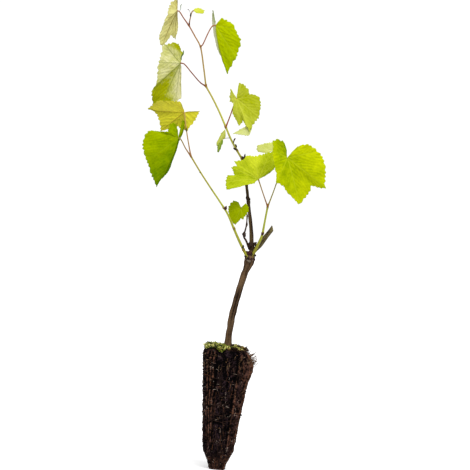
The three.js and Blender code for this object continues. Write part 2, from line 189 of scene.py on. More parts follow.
# A limb is a chain of steps: length, lean from straight up towards +X, lean towards +Y. dark is how dark
# its bark is at the foot and how that changes along it; darkNodes adds to it at each node. cutFace is the
# lean and back of a cut end, and tip is how far a closed end is pushed out.
limbs = {
    "trunk": {
        "at": (-2.9, 0, stemFoot), "bark": "dryVineBark", "dark": (-6.02, 7),
        "steps": [(23.5, 2.7, 0), (23.5, 5, 0), (25.6, 10, 0), (24.2, 12.5, 0), (15.6, 14, 0), (9.3, 5, 0),
            (6.5, -3, 9)],
        "radii": [4.3, 3.9, 3.9, 3.8, 3.9, 6.4, 2.7, 2.3]},
    "cane_stub": {
        "on": "trunk", "offset": (-1, -1, -13.4), "bark": "weatheredCaneBark", "dark": (1.4, -1.8),
        "cutFace": (72, 5),
        "steps": [(8, 20, 0), (11, 39, 5), (14, 32, 4), (14, 31, 4)],
        "radii": [3.2, 3.5, 3.4, 3, 2.7]},
    "old_cane": {
        "on": "trunk", "offset": (.2, 0, -2.5), "bark": "ripeCaneBark", "dark": (.2, 0), "darkNodes": True,
        "steps": [(21.5, -6, 5), (21, -11, 3), (18.5, -13, 3), (14.5, -12, 0), (16, -13, 0), (18.5, -15, 0)],
        "radii": [2.7, 2.3, 2.1, 1.8, 1.7, 1.8, 2]},
    "side_twig": {
        "on": "trunk", "offset": (-2.4, -2, -2.1), "bark": "dryVineBark", "dark": (.1, 0), "darkNodes": True,
        "tip": .5,
        "steps": [(11.5, -27, -26), (7, -34, -16), (6.5, 8, 0), (7, 8, 0), (10.5, -1, 0)],
        "radii": [1.6, 1.2, 1.1, 1, .9, .7]},
    "right_shoot": {
        "on": "trunk", "offset": (1.7, -3, -11.5), "hues": ("989028", "b2b832", "b4ba38"),
        "steps": [(20.5, 20, -17), (10.5, 16, -5), (17, 5, -7), (17.5, 5, -3)],
        "radii": [2.1, 1.65, 1.4, 1.2, 1.2]},
    "left_shoot": {
        "on": "trunk", "offset": (-3.1, -3, -13.2), "hues": ("a2a22a", "bcc036", "b4a442"),
        "steps": [(19.5, -33, -12), (19, -30, -12), (21, -29, -11), (19, -38, -12), (19.5, -40, -12),
            (23, -39, -15), (23, -37, -10)],
        "radii": [2, 1.65, 1.45, 1.25, 1.1, 1, .95, 1]},
    "long_shoot_lower": {
        "on": "old_cane", "hues": ("aaa434", "cccb48", "bcac4a"),
        "steps": [(15.5, -37, 0), (14, -34, -4), (16, -29, 0), (20, -29, 3), (19, -32, 3), (17, -35, 7)],
        "radii": [1.4, 1.25, 1.2, 1.2, 1.1, 1.05, 1.1]},
    "long_shoot_upper": {
        "on": "long_shoot_lower", "hues": ("b29e44", "b58a44", "a25e30"),
        "steps": [(23, -13, 5), (26.5, -15, 4), (15.5, -33, 8), (14.5, -35, 4)],
        "radii": [1, .95, .88, .8, .8]},
}
stalks = {
    "stalk_broad": {
        "on": "right_shoot", "hues": ("a8963a", "aaac3a"),
        "steps": [(16, 15, -11), (26.5, 14, -8), (22, 18, -12)]},
    "stalk_cupped": {
        "on": "right_shoot", "hues": ("a87040", "a8903c"), "steps": [(18, -25, 3), (17.5, -24, 10)]},
    "stalk_middle": {
        "on": "long_shoot_lower", "after": 3, "hues": ("a83a2c", "b8823c"),
        "steps": [(15.5, 15, 7), (13.5, 13, -8), (12, 21, -49)]},
    "stalk_upper_left": {
        "on": "long_shoot_lower", "hues": ("7c3526", "a0603c"),
        "steps": [(8.5, -63, -14), (15.5, -48, -11), (14.5, -47, -12), (5, -79, 17)]},
    "stalk_upper_right": {
        "on": "long_shoot_upper", "after": 2, "hues": ("98481f", "b4784a"),
        "steps": [(4, 40, 0), (16, 19, 4), (9.5, 25, 2), (4.5, 68, 7)]},
    "stalk_top": {
        "on": "long_shoot_upper", "hues": ("94481f", "aa6830"),
        "steps": [(11, -42, -10), (10, -40, -12), (3, -81, -19)]},
    "stalk_sprout": {
        "on": "long_shoot_upper", "hues": ("8a5238", "b89a66"),
        "steps": [(6, 1, 10), (5.5, 6, 10), (6.5, 9, 9), (2.5, 44, 0)]},
    "stalk_lower_left": {
        "on": "left_shoot", "hues": ("b07a48", "a09a3c"),
        "steps": [(11, -40, -11), (13, -34, -13), (3.5, -67, -16)]},
    "stalk_folded": {
        "on": "left_shoot", "hues": ("b07a50", "c4a850"),
        "steps": [(14, -16, -16), (17, -15, -7), (23.5, -13, 12)]},
    "stalk_heart": {
        "on": "side_twig", "hues": ("84702e", "9aa032"),
        "steps": [(4.5, -14, 13), (5, -48, 0), (5, -54, -18)]},
}
routes = {}


def startOf(thing):
    # a thing starts at its own place, or where the one that it grows on ends or has its step or ray "after"
    if "at" in thing:
        return np.array(thing["at"], float)
    return routes[thing["on"]][thing.get("after", -1)] + np.array(thing.get("offset", (0, 0, 0)))


def routeOf(limb):
    # the limb's own points: its start, then each step added on
    start, steps = startOf(limb), np.array(limb["steps"], float)
    moves = steps[:, :1] * heading(steps[:, 1], steps[:, 2])
    return np.concatenate([start[None], start + np.cumsum(moves, axis=0)])


for name, limb in {**limbs, **stalks}.items():
    routes[name] = routeOf(limb)


def pathLength(route):
    return np.linalg.norm(np.diff(route, axis=0), axis=1).sum()


def cubic(a, b, slopeA, slopeB, f):
    # Hermite curve from a to b: it has the two slopes at its ends, and f runs from 0 to 1
    return (a * (2 * f ** 3 - 3 * f ** 2 + 1) + b * (3 * f ** 2 - 2 * f ** 3)
            + slopeA * (f ** 3 - 2 * f ** 2 + f) + slopeB * (f ** 3 - f ** 2))


def smoothPath(route, places):
    # cubic curve through the route's points; places count steps from its start, and the slope at a point is
    # that of the line between its two neighbours
    route = np.asarray(route, float)
    knots = np.concatenate([[0], np.cumsum(np.linalg.norm(np.diff(route, axis=0), axis=1))])
    before = np.maximum(np.arange(len(route)) - 1, 0)
    after = np.minimum(np.arange(len(route)) + 1, len(route) - 1)
    slopes = (route[after] - route[before]) / (knots[after] - knots[before])[:, None]
    k = np.clip(np.floor(places).astype(int), 0, len(route) - 2)
    gap = (knots[k + 1] - knots[k])[:, None]
    return cubic(route[k], route[k + 1], slopes[k] * gap, slopes[k + 1] * gap, (places - k)[:, None])


def limbRings(route, radii, sides, spacing, relief, cutFace=None):
    # rings round the smooth path: a point is the middle line plus (radius + relief) times (cos, sin) across;
    # towards a cut end the rings are sheared along the limb until the last lies in the cut's plane
    places = np.linspace(0, len(route) - 1, max(8, int(pathLength(route) / spacing)))
    centre = smoothPath(route, places)
    along = unit(np.gradient(centre, axis=0))
    side = unit(np.array([0, -1.0, 0]) + along * along[:, 1:2])
    other = np.cross(along, side)
    share = places / places[-1]
    radius = np.interp(share * (len(radii) - 1), np.arange(len(radii)), radii)
    u = np.arange(sides) / sides
    angle = 2 * np.pi * u
    wide = (radius[:, None] + relief(*np.broadcast_arrays(u[None], share[:, None])))[:, :, None]
    out = side[:, None] * np.cos(angle)[None, :, None] + other[:, None] * np.sin(angle)[None, :, None]
    points = centre[:, None] + out * wide
    if cutFace is not None:
        face = heading(*cutFace)
        slide = ((out[-1] * wide[-1]) @ face) / (along[-1] @ face)
        fade = np.clip((share - 0.8) / 0.2, 0, 1)[:, None, None]
        points -= fade * slide[None, :, None] * along[-1]
    return points, share


def ringFaces(count, sides):
    # quads between neighbouring rings, and a fan of triangles to one more point beyond each end
    k = np.arange(sides)
    after = (k + 1) % sides
    ring = np.arange(count - 1)[:, None] * sides
    quads = np.stack([ring + k, ring + after, ring + sides + after, ring + sides + k], -1).reshape(-1, 4)
    foot, last = count * sides, (count - 1) * sides
    fans = np.concatenate([np.stack([np.full(sides, foot), after, k], -1),
                           np.stack([np.full(sides, foot + 1), last + k, last + after], -1)])
    return [quads, fans]


def closeRings(points, startRound, endRound):
    # the rings' points, then the middle of each end, pushed out by its rounding
    ends = points[[0, -1]].mean(axis=1)
    ends[0] += unit(points[0].mean(0) - points[1].mean(0)) * startRound
    ends[1] += unit(points[-1].mean(0) - points[-2].mean(0)) * endRound
    return np.concatenate([points.reshape(-1, 3), ends]), ringFaces(*points.shape[:2])


def barkMaterial(name, hues):
    # vine bark: dry fibrous strips that run along the stem, grey-brown on the crests and near black between;
    # its fibres are about 1 mm long, as coarse as they need to be to show
    material, tree, shader, (crest, dark) = newMaterial(
        name, {"Roughness": 0.85, "Specular IOR Level": 0.08}, ("crest", "dark"))
    spot = addNode(tree, "TexCoord")
    grain = addNode(tree, "TexNoise", {"Scale": 900, "Detail": 4}, {"Vector": spot.outputs["Object"]})
    lift = addNode(tree, "Math", {"operation": "ADD"}, {0: crest, 1: grain})
    tone = addNode(tree, "MapRange", {"From Min": 0.5, "From Max": 1.25}, {"Value": lift})
    bark = addNode(tree, "Mix", {"data_type": "RGBA", 6: linear(hues[0]), 7: linear(hues[1])}, {0: tone})
    knotty = addNode(tree, "Mix", {"data_type": "RGBA", 7: linear("2a1a18")}, {0: dark, 6: bark.outputs[2]})
    bump = addNode(tree, "Bump", {"Strength": 0.5, "Distance": 0.4 * mm}, {"Height": grain})
    wire(tree, shader, {"Base Color": knotty.outputs[2], "Normal": bump})
    return material


def shootMaterial(name, hues):
    # green vine cane: a thin waxy skin, glossy along the light, that ripens from green to red-brown;
    # its flecks are about 2 mm
    material, tree, shader, (share, knot) = newMaterial(
        name, {"Roughness": 0.45, "Specular IOR Level": 0.25}, ("share", "knot"))
    ramp = addNode(tree, "ValToRGB", links={"Fac": share})
    ramp.color_ramp.elements[0].color = linear(hues[0])
    ramp.color_ramp.elements[1].color = linear(hues[-1])
    if len(hues) > 2:
        ramp.color_ramp.elements.new(0.55).color = linear(hues[1])
    spot = addNode(tree, "TexCoord")
    fleck = addNode(tree, "TexNoise", {"Scale": 500, "Detail": 3}, {"Vector": spot.outputs["Object"]})
    shade = addNode(tree, "MapRange", {"To Min": 0.78, "To Max": 1.15}, {"Value": fleck})
    skin = addNode(tree, "VectorMath", {"operation": "SCALE"}, {0: ramp, "Scale": shade})
    knotted = addNode(tree, "Mix", {"data_type": "RGBA", 7: linear("7d4f2c")}, {0: knot, 6: skin})
    wire(tree, shader, {"Base Color": knotted.outputs[2]})
    return material


# places along a limb, in steps, where it swells into a node: place, extra radius, side it swells to
nodesOn = {
    "trunk": [(5.4, 0.8, 0.8), (6.1, 0.9, 0.2)],
    "old_cane": [(0.2, 0.7, 0.3), (2.85, 0.9, 0.1), (3.2, 0.9, 0.6), (6, 0.9, 0.5)],
    "side_twig": [(2.4, 1.1, 0.6), (4.1, 0.8, 0.2), (5, 0.3, 0.0)],
    "left_shoot": [(0, 0.9, 0.5), (0.6, 0.6, 0.5), (2.1, 0.6, 0.3), (3.5, 0.8, 0.6), (7, 0.5, 0.0)],
    "right_shoot": [(0, 0.9, 0.5), (2.1, 0.7, 0.2), (4, 0.6, 0.0)],
    "long_shoot_lower": [(0.1, 1.2, 0.0), (0.9, 0.6, 0.4), (3, 0.8, 0.5), (6, 0.6, 0.0)],
    "long_shoot_upper": [(0, 0.6, 0.5), (2, 0.6, 0.2), (4, 0.5, 0.0)],
}
barkHues = {"dryVineBark": ("231710", "7a6045"), "weatheredCaneBark": ("362b1f", "9e905c"),
            "ripeCaneBark": ("2a1e16", "74603f")}
barks = {name: barkMaterial(name, hues) for name, hues in barkHues.items()}
# strips, fibres and lumps of bark: height as a share of the limb's radius, and length in millimetres
# the bark is made lighter on each limb's left side: painted light, as if lit from the left
skin = {"strips": (0.09, 16), "fibres": (0.06, 7), "lumps": (0.06, 5), "streakLength": 40, "streak": 0.22,
        "paintedLightLeft": 0.7, "waxyRipple": 0.04, "rippleLength": 30, "nodeReach": 1.9, "darkReach": 3.5,
        "knotReach": 1.6, "nodeDark": 0.5, "blotch": 0.15, "ringGap": 0.7}


def growLimb(index, name, limb):
    # radius is the taper, swelled by a bell curve at each node; wood is raised in strips, fibres and lumps
    route, nodes = routes[name], nodesOn.get(name, [])
    steps, length, thick = len(route) - 1, pathLength(route), max(limb["radii"])
    woody = "bark" in limb

    def closeness(share, reach):
        gaps = [(share * steps - place) * length / steps for place, size, side in nodes]
        return [np.exp(-(gap / reach) ** 2) for gap in gaps]

    def relief(u, share):
        swell = sum(size * close * (0.55 + 0.45 * np.cos(2 * np.pi * (u - side)))
                    for close, (place, size, side) in zip(closeness(share, skin["nodeReach"]), nodes))
        if not woody:
            ripple = softNoise(u, share, 7, length / skin["rippleLength"], 400 + index)
            return swell + skin["waxyRipple"] * ripple
        rows = [(*skin["strips"], u, 7 * thick ** 0.5), (*skin["fibres"], u + 0.3 * share, 13 * thick ** 0.5),
                (*skin["lumps"], u, 4)]
        return swell + thick * sum(high * softNoise(across, share, cells, length / long, 100 * k + index)
                                   for k, (high, long, across, cells) in enumerate(rows, 1))

    sides = 48 if thick > 3 else 28
    points, share = limbRings(route, limb["radii"], sides, skin["ringGap"], relief, limb.get("cutFace"))
    vertices, faces = closeRings(points, 0.2, limb.get("tip", 0.1 if woody else 0.5))
    u, s = np.broadcast_arrays((np.arange(sides) / sides)[None], share[:, None])
    if woody:
        streak = softNoise(u, s, 9 * thick ** 0.5, length / skin["streakLength"], 600 + index)
        # painted light: the left side of each limb is lighter, as if lit from the left
        streak = streak - skin["paintedLightLeft"] * np.sin(2 * np.pi * u)
        crest = np.clip(relief(u, s) / thick * 3, -0.5, 0.4) + skin["streak"] * streak + 0.3
        start, change = limb["dark"]
        dark = np.clip(start + change * s, 0, 0.9)
        if limb.get("darkNodes"):
            dark = dark + skin["nodeDark"] * sum(closeness(s, skin["darkReach"]))
        dark = np.clip(dark + skin["blotch"] * softNoise(u, s, 5, 8, 500 + index), 0, 0.95)
        values = {"crest": np.append(crest.ravel(), [0.2, 0.6]), "dark": np.append(dark.ravel(), [0.2, 0.2])}
        putMesh(name + "_skin", vertices, faces, barks[limb["bark"]], "bark", [name], values)
    else:
        knot = 0.75 * np.clip(sum(closeness(s, skin["knotReach"])), 0, 1)
        values = {"share": np.append(s.ravel(), [0, 1]), "knot": np.append(knot.ravel(), [0, 0])}
        material = shootMaterial("greenCaneSkin_" + name, limb["hues"])
        putMesh(name + "_skin", vertices, faces, material, "green_cane", [name], values)


def stalkRelief(u, share):
    # swollen at both ends, with a shallow groove along one side
    ends = np.exp(-(share / 0.07) ** 2) + 0.7 * np.exp(-((1 - share) / 0.06) ** 2)
    return 0.35 * ends - 0.12 * np.clip(np.cos(2 * np.pi * u), 0, 1) ** 3


for index, (name, limb) in enumerate(limbs.items()):
    growLimb(index, name, limb)
stalkForm = {"radii": [0.9, 0.72, 0.72, 0.8], "sides": 16, "ringGap": 0.6}
for name, stalk in stalks.items():
    points, share = limbRings(routes[name], stalkForm["radii"], stalkForm["sides"], stalkForm["ringGap"],
                              stalkRelief)
    s = np.append(np.repeat(share, stalkForm["sides"]), [0, 1])
    values = {"share": s, "knot": 0.5 * np.exp(-(s / 0.06) ** 2)}
    material = shootMaterial("stalkSkin_" + name, stalk["hues"])
    putMesh(name + "_skin", *closeRings(points, 0.3, 0.4), material, "leaf_stalk", [name], values)
print("stage: limbs and stalks")

# A leaf is a fan of rays round the end of its stalk: side from straight down towards +X, back towards +Y,
# length. main are the rays, or places between two rays, that carry a main vein. heartTone and rimTone run
# from dark, 0, to light, 1, for each ray near the stalk and at the margin; besides the leaf's own yellow and
# green they hold painted shade on folds and lobes turned from the light and painted highlights where a blade
# faces it. upper and under are each face's dark and light hues, and felted is how much of the under hues
# shows on the upper face; some under hues are deepened as painted shade and others lightened as painted
# light, on strips of underside turned edge-on. bulge swells the margin between two rays, and notch opens the
# fan past its end rays. A lobe is a second small blade of the leaf named before it, and replaces no solid of
# its own.
leaves = {
    "leaf_broad": {
        "on": "stalk_broad", "notch": 6, "tooth": 6.2, "wave": 1.4,
        "bulge": (.03, .06, .04, 0, .03, .05, .03, .09, .06, .03),
        "rays": [(-165, -13, 18), (-151, -21, 23.8), (-128, -30, 30), (-20, -33, 40), (0, -13, 36.5),
            (20, 4, 58.5), (47, 7, 44), (58, 6, 59.5), (103, 7, 41), (131, 2, 27.5), (143, -3, 18.5)],
        "main": (.9, 2.3, 3, 5, 7, 8.2, 9.4),
        "heartTone": (-.1, 0, .25, .3, .15, .35, .45, .5, .5, .6, .65),
        "rimTone": (-.1, .15, .6, .6, .5, .8, .75, .65, 1, 1.15, 1),
        "upper": ("84a000", "d0da08"), "under": ("a9b84c", "d4d98c"), "veins": ("bfcc20", "b4bd52")},
    "leaf_cupped": {
        "on": "stalk_cupped", "notch": 10, "tooth": 4.2, "wave": 1.4,
        "bulge": (.05, 0, 0, 0, .02, 0, -.02, 0, -.02, 0, 0, 0, .04, .05),
        "rays": [(131, 5, 23.5), (158, 12, 39.5), (175, 9, 32), (-165, 6, 28.5), (-150, 5, 32),
            (-136, 4, 29.5), (-121, 2, 37.5), (-116, 0, 30.5), (-108, -1, 36.5), (-95, -3, 30),
            (-90, -6, 38), (-79, -10, 40.5), (-67, -17, 42.5), (-60, -38, 31), (-42, -59, 11.5)],
        "main": (.4, 1.3, 3, 6, 8, 11, 12.6),
        "heartTone": (.25, .3, .35, .8, .8, .6, .45, .4, .35, .3, .3, .4, .45, .5, .5),
        "rimTone": (.2, .3, .6, 1.2, .9, .5, .5, .2, .2, .2, .2, .3, .2, .4, .5),
        "upper": ("9aae00", "dae430"), "under": ("a9b84c", "d4d98c"), "veins": ("ccd63c", "b4bd52")},
    "leaf_cupped_lobe": {
        "on": "leaf_cupped", "after": 1, "offset": (.5, 0, 1.5), "lobe": True, "notch": 8, "tooth": 3.6,
        "wave": .8,
        "bulge": (.05, 0, .04, 0),
        "rays": [(175, 8, 10), (-131, 14, 13), (-103, 18, 21.5), (-80, 14, 20), (-67, 8, 10.5)],
        "main": (1.2, 2.5),
        "heartTone": (.6, .7, .8, .9, .8), "rimTone": (.6, .8, 1, 1, .9),
        "upper": ("c2cf2c", "e4ea80"), "under": ("c2cf2c", "e4ea80"), "veins": ("e6eb94", "c4cc66")},
    "leaf_middle": {
        "on": "stalk_middle", "notch": 10, "tooth": 5, "wave": 1.1,
        "bulge": (.08, 0, 0, .05, 0, 0, 0, 0, 0, .08, .12, .1, .1),
        "rays": [(-144, 27, 17.5), (-65, 33, 11), (-28, 8, 6.5), (-11, 0, 17), (10, -7, 34), (21, -10, 29),
            (26, -11, 36.5), (27, -10, 44.5), (36, -7, 38.5), (56, -7, 35.5), (100, -4, 26.5),
            (114, -4, 15.5), (148, -6, 18), (180, -6, 18.5)],
        "main": (.4, 4, 7, 9, 10.2, 12.6),
        "heartTone": (.9, .8, .7, .6, .5, .3, .25, .3, .25, .2, .15, .1, .1, .2),
        "rimTone": (1.1, 1, .7, .6, .4, .2, .5, .7, .5, .2, .1, .2, .4, .35),
        "upper": ("adb900", "d4da50"), "under": ("b5c060", "dadf98"), "veins": ("d2d648", "b4bd52")},
    "leaf_middle_tip": {
        "on": "leaf_middle", "after": 8, "notch": 8, "tooth": 3.5, "wave": .5,
        "bulge": (.05, .02, .02, .05),
        "rays": [(-15, -9, 12.5), (-44, -12, 18), (-61, -10, 26), (-66, -8, 16.5), (-95, -2, 5)],
        "main": (2,),
        "heartTone": (.5, .6, .7, .7, .6), "rimTone": (.5, .6, .5, .6, .6),
        "upper": ("c8d068", "e3e89c"), "under": ("c8d068", "e3e89c"), "veins": ("d9dc78", "c4cc66")},
    "leaf_upper_right": {
        "on": "stalk_upper_right", "notch": 12, "tooth": 6.5, "wave": .9,
        "bulge": (.1, .1, 0, 0, .02, .02, 0, .03, .03, .02),
        "rays": [(-165, 17, 21), (-150, 60, 20.5), (8, 40, 30), (14, 22, 37), (19, 0, 61), (23, -1, 56),
            (29, -3, 52), (39, -5, 47.5), (66, -10, 36), (105, -15, 20), (145, -20, 11.5)],
        "felted": (.8, 1, 1, .9, 0, 0, 0, 0, 0, 0, 0),
        "main": (.4, 1.8, 4, 7, 8.5),
        "heartTone": (.5, 1, 1, 1, .7, .7, .7, .6, .7, 1, 1),
        "rimTone": (-.2, 1, 1.2, .9, .1, .2, .3, .4, .6, .8, .9),
        "upper": ("98b000", "c4d400"), "under": ("8ea05a", "f0f4cc"), "veins": ("bccb20", "cdd49c")},
    "leaf_lower_left": {
        "on": "stalk_lower_left", "notch": 5, "tooth": 5.6, "wave": 1.2,
        "bulge": (.08, 0, .03, .1, .02, .02, 0, .1, .1, .05),
        "rays": [(-166, -4, 16), (-143, -9, 19.5), (-112, -20, 14.5), (-98, -13, 34.5), (-68, -13, 44.5),
            (-37, -8, 50.5), (-17.5, -2, 65), (-13, 28, 42), (100, 86, 22), (162, 14, 20.5), (173, 8, 22)],
        "main": (.6, 3, 4.6, 6, 7.6, 9.5),
        "heartTone": (.5, .5, .5, .7, .65, .5, .3, .05, .1, .4, .4),
        "rimTone": (.5, .6, .7, 1.05, .95, .5, -.1, -.1, .1, .5, .3),
        # its under hues are a deep green: painted shade on the strip of underside turned away from the light
        "upper": ("5a8200", "a5b900"), "under": ("4a7000", "86a800"), "veins": ("98b010", "7f9a10")},
    "leaf_folded": {
        "on": "stalk_folded", "notch": 12, "tooth": 5, "wave": 1.2,
        "bulge": (.03, 0, .04, -.06, .03, .05, 0),
        "rays": [(102, 24, 21), (16, 16, 23), (-20, 24, 20), (-47, 16, 38), (-84, 10, 36), (-90, 5, 44),
            (-112, 24, 35), (-154, 41, 18.5)],
        "main": (0, 1.2, 3, 4.6, 6.6),
        "heartTone": (.9, 1, 1, .95, .9, .3, .2, .3), "rimTone": (.7, .7, .9, .95, .85, -.2, .1, .25),
        "upper": ("94a81c", "b8c22c"), "under": ("aca832", "ece63a"), "veins": ("c2c648", "b8922f")},
    "leaf_upper_left": {
        "on": "stalk_upper_left", "notch": 12, "tooth": 6, "wave": 1.1, "grade": 2.5,
        "bulge": (.05, 0, 0, 0, 0, 0, 0, .08),
        "rays": [(7, 16, 42.5), (-7, 5, 47.5), (-25, 2, 63), (-38, -7, 51.5), (-43, -11, 40.5),
            (-84, -21, 27.5), (-129, -11, 30.5), (-161, -5, 25.5), (177, 39, 19)],
        "main": (.6, 1.6, 3, 5, 6.2, 7.4),
        "heartTone": (1.25, .7, .22, .3, .6, .66, .5, .45, .5),
        "rimTone": (1.25, .15, -1, -1, .35, .65, .45, -.4, -.2),
        "upper": ("8ca60c", "b4c41e"), "under": ("b2b806", "f2eeb4"), "veins": ("c2cc48", "8a963a")},
    "leaf_top": {
        "on": "stalk_top", "notch": 12, "tooth": 5, "wave": 1,
        "bulge": (.05, 0, .05, .05, 0, 0, .05),
        "rays": [(10, 27, 17.5), (2, 13, 35), (-9, 10, 30), (-17, 0, 48), (-30, -6, 36.5), (-46, -19, 19),
            (-134, -10, 12), (-177, 20, 17.5)],
        "main": (1, 1.9, 3, 4.6, 6.6),
        "heartTone": (.6, .6, .6, .6, .6, .6, .6, .4), "rimTone": (.7, .5, .7, .7, .8, .7, .5, .2),
        "upper": ("a0ae24", "bcc43c"), "under": ("b4a644", "f2eea0"), "veins": ("c8ca5c", "82702c")},
    "leaf_bud": {
        "on": "long_shoot_lower", "after": 3, "offset": (-.7, -1, -3), "notch": 12, "tooth": 4.5, "wave": .7,
        "bulge": (-.15, .1, .05, -.1),
        "rays": [(-38, -20, 8), (-27, -5, 18.5), (-19, 0, 21), (-12, 8, 17.5), (8, 20, 11)],
        "main": (2,),
        "heartTone": (.7, .7, 1, .9, .7), "rimTone": (.8, .5, .4, .6, .8),
        "upper": ("a4b230", "dee46c"), "under": ("a4b230", "dee46c"), "veins": ("eaed94", "d0d670")},
    "leaf_bud_tip": {
        "on": "leaf_bud", "after": 2, "offset": (3.6, .6, 7.2), "lobe": True, "notch": 20, "tooth": 4,
        "wave": .7,
        "bulge": (.3, .1, .1, .3),
        "rays": [(-92, -18, 2.4), (-50, -12, 5.5), (-12, 0, 16.5), (0, 8, 12), (66, 22, 2.4)],
        "main": (2,),
        "heartTone": (.4, .1, 0, 0, .4), "rimTone": (.2, 0, .2, 0, .3),
        "upper": ("76981c", "b0c050"), "under": ("6c9016", "a8b84c"), "veins": ("b6c860", "a0b048")},
    "leaf_heart": {
        "on": "stalk_heart", "notch": 8, "tooth": 4, "wave": .6,
        "bulge": (.05, .06, .04, .04, .03, 0, .06, .05),
        "rays": [(-149, 8, 7), (-129, 10, 12), (-88, 15, 15.5), (-47, 15, 19), (-13, 5, 22.5), (7, -5, 12.5),
            (16, -4, 15.5), (87, -12, 10), (137, -7, 8)],
        "main": (1, 2.5, 4, 6, 7.4),
        "heartTone": (.3, .2, .4, .7, .7, .8, .8, .8, .5), "rimTone": (.2, .1, .6, 1.1, .9, .5, .6, .8, .6),
        "upper": ("7f9600", "acbe00"), "under": ("8e9a34", "b4ba5c"), "veins": ("b4c020", "a0a850")},
    "leaf_sprout": {
        "on": "stalk_sprout", "notch": 10, "tooth": 3.5, "wave": .5,
        "bulge": (.05, 0, 0, .05),
        "rays": [(50, -37, 5), (76, -13, 13), (97, 0, 13.5), (128, 28, 8.5), (158, 45, 4)],
        "main": (2,),
        "heartTone": (.6, .6, .6, .6, .6), "rimTone": (.5, .5, .5, .5, .5),
        "upper": ("bcc61c", "dce24e"), "under": ("bcc61c", "dce24e"), "veins": ("e4e87c", "dadc58")},
}
# millimetres and degrees; full is the reach of a leaf that has relief at its full height
blade = {"thickness": 0.28, "arch": 0.3, "slack": 0.35, "spread": 0.45, "columnGap": 0.65, "ringGap": 1.4,
         "mainVein": 0.75, "sideVein": 0.42, "sideVeinGap": 6.5, "sideVeinAngle": 46, "sideVeinCurve": 0.009,
         "mainRidge": 0.35, "sideRidge": 0.16, "pucker": 0.75, "puckerReach": 2.3, "toothDepth": 0.42,
         "smallLumps": 0.24, "broadLumps": 0.5, "full": 40, "beyond": 99}


def fourPoint(values, k, f):
    # cubic from the value at k to that at k+1; a slope is a share of the step between the neighbours
    a, b, c, d = [values[np.clip(j, 0, len(values) - 1)] for j in (k - 1, k, k + 1, k + 2)]
    return cubic(b, c, blade["slack"] * (c - a), blade["slack"] * (d - b), f[:, None])


def leafFan(leaf):
    # directions round the fan, each with its length, its dome towards the upper face and its place among the
    # rays; between two rays the margin is their chord, swelled by the leaf's bulge
    rays = np.array(leaf["rays"], float)
    headings = heading(180 - rays[:, 0], rays[:, 1])
    crosses = np.cross(headings[:-1], headings[1:])
    steps = np.arange(len(rays))[:, None] - np.arange(len(rays) - 1)[None]
    weight = blade["spread"] ** np.minimum(np.abs(steps), np.abs(steps - 1))
    domes = unit(weight @ crosses)

    def past(a, b):
        # b turned further away from a by the notch angle
        axis = unit(np.cross(a, b))
        turn = np.radians(leaf["notch"])
        return b * np.cos(turn) + np.cross(axis, b) * np.sin(turn)

    fan = np.concatenate([[past(headings[1], headings[0])], headings, [past(headings[-2], headings[-1])]])
    domes = np.concatenate([[0 * domes[0]], domes, [0 * domes[0]]])
    reach = np.concatenate([[rays[0, 2] * 0.1], rays[:, 2], [rays[-1, 2] * 0.1]])
    bulge = (0.15, *leaf["bulge"], 0.15)
    outs, ups, lengths, places = [], [], [], []
    for k in range(len(fan) - 1):
        wide = np.arccos(np.clip(fan[k] @ fan[k + 1], -1, 1))
        chord = np.linalg.norm(fan[k] * reach[k] - fan[k + 1] * reach[k + 1])
        f = np.linspace(0, 1, max(3, int(chord / blade["columnGap"])) + 1)[0 if k == 0 else 1:]
        straight = np.sin(f * wide) / reach[k + 1] + np.sin((1 - f) * wide) / reach[k]
        outs.append(unit(fourPoint(fan, k, f)))
        ups.append(fourPoint(domes, k, f))
        lengths.append(np.sin(wide) / straight * (1 + bulge[k] * np.sin(np.pi * f) ** 0.8))
        places.append(k - 1 + f)
    return tuple(np.concatenate(part) for part in (outs, ups, lengths, places))


def veinMasks(x, y, turn, angles, lengths):
    # main veins run straight down the fan; side veins leave each at a steady angle and bend towards its
    # tip. returns how near each point is to a main vein, to a side vein, and the distance to the nearest of
    # either
    mainVein, sideVein = np.zeros_like(x), np.zeros_like(x)
    nearest = np.full_like(x, blade["beyond"])
    owner = np.argmin(np.abs(turn[:, None] - angles[None]), axis=1)[:, None]
    for i, (angle, length) in enumerate(zip(angles, lengths)):
        along = x * np.cos(angle) + y * np.sin(angle)
        across = -x * np.sin(angle) + y * np.cos(angle)
        gap = np.hypot(across, np.maximum(along - length, 0) + np.maximum(-along, 0))
        width = blade["mainVein"] * np.clip(1 - 0.8 * along / length, 0.15, 1) * (length / 50) ** 0.5
        mainVein = np.maximum(mainVein, np.exp(-(gap / width) ** 2))
        nearest = np.minimum(nearest, gap)
        count = max(2, int(length / blade["sideVeinGap"]))
        for j, side in ((j, side) for j in range(count) for side in (-1, 1)):
            start = length * (j + 0.75 + 0.22 * side) / (count + 0.9)
            bend = np.radians(blade["sideVeinAngle"] - 12 * j / count)
            ahead, aside = along - start, side * across
            u = ahead * np.cos(bend) + aside * np.sin(bend)
            v = aside * np.cos(bend) - ahead * np.sin(bend) + blade["sideVeinCurve"] * u ** 2
            gap = np.where((owner == i) & (u > 0), np.abs(v), blade["beyond"])
            width = blade["sideVein"] * np.clip(1.1 - u / (0.7 * length), 0.35, 1)
            sideVein = np.maximum(sideVein, np.exp(-(gap / width) ** 2))
            nearest = np.minimum(nearest, gap)
    return mainVein, sideVein, nearest


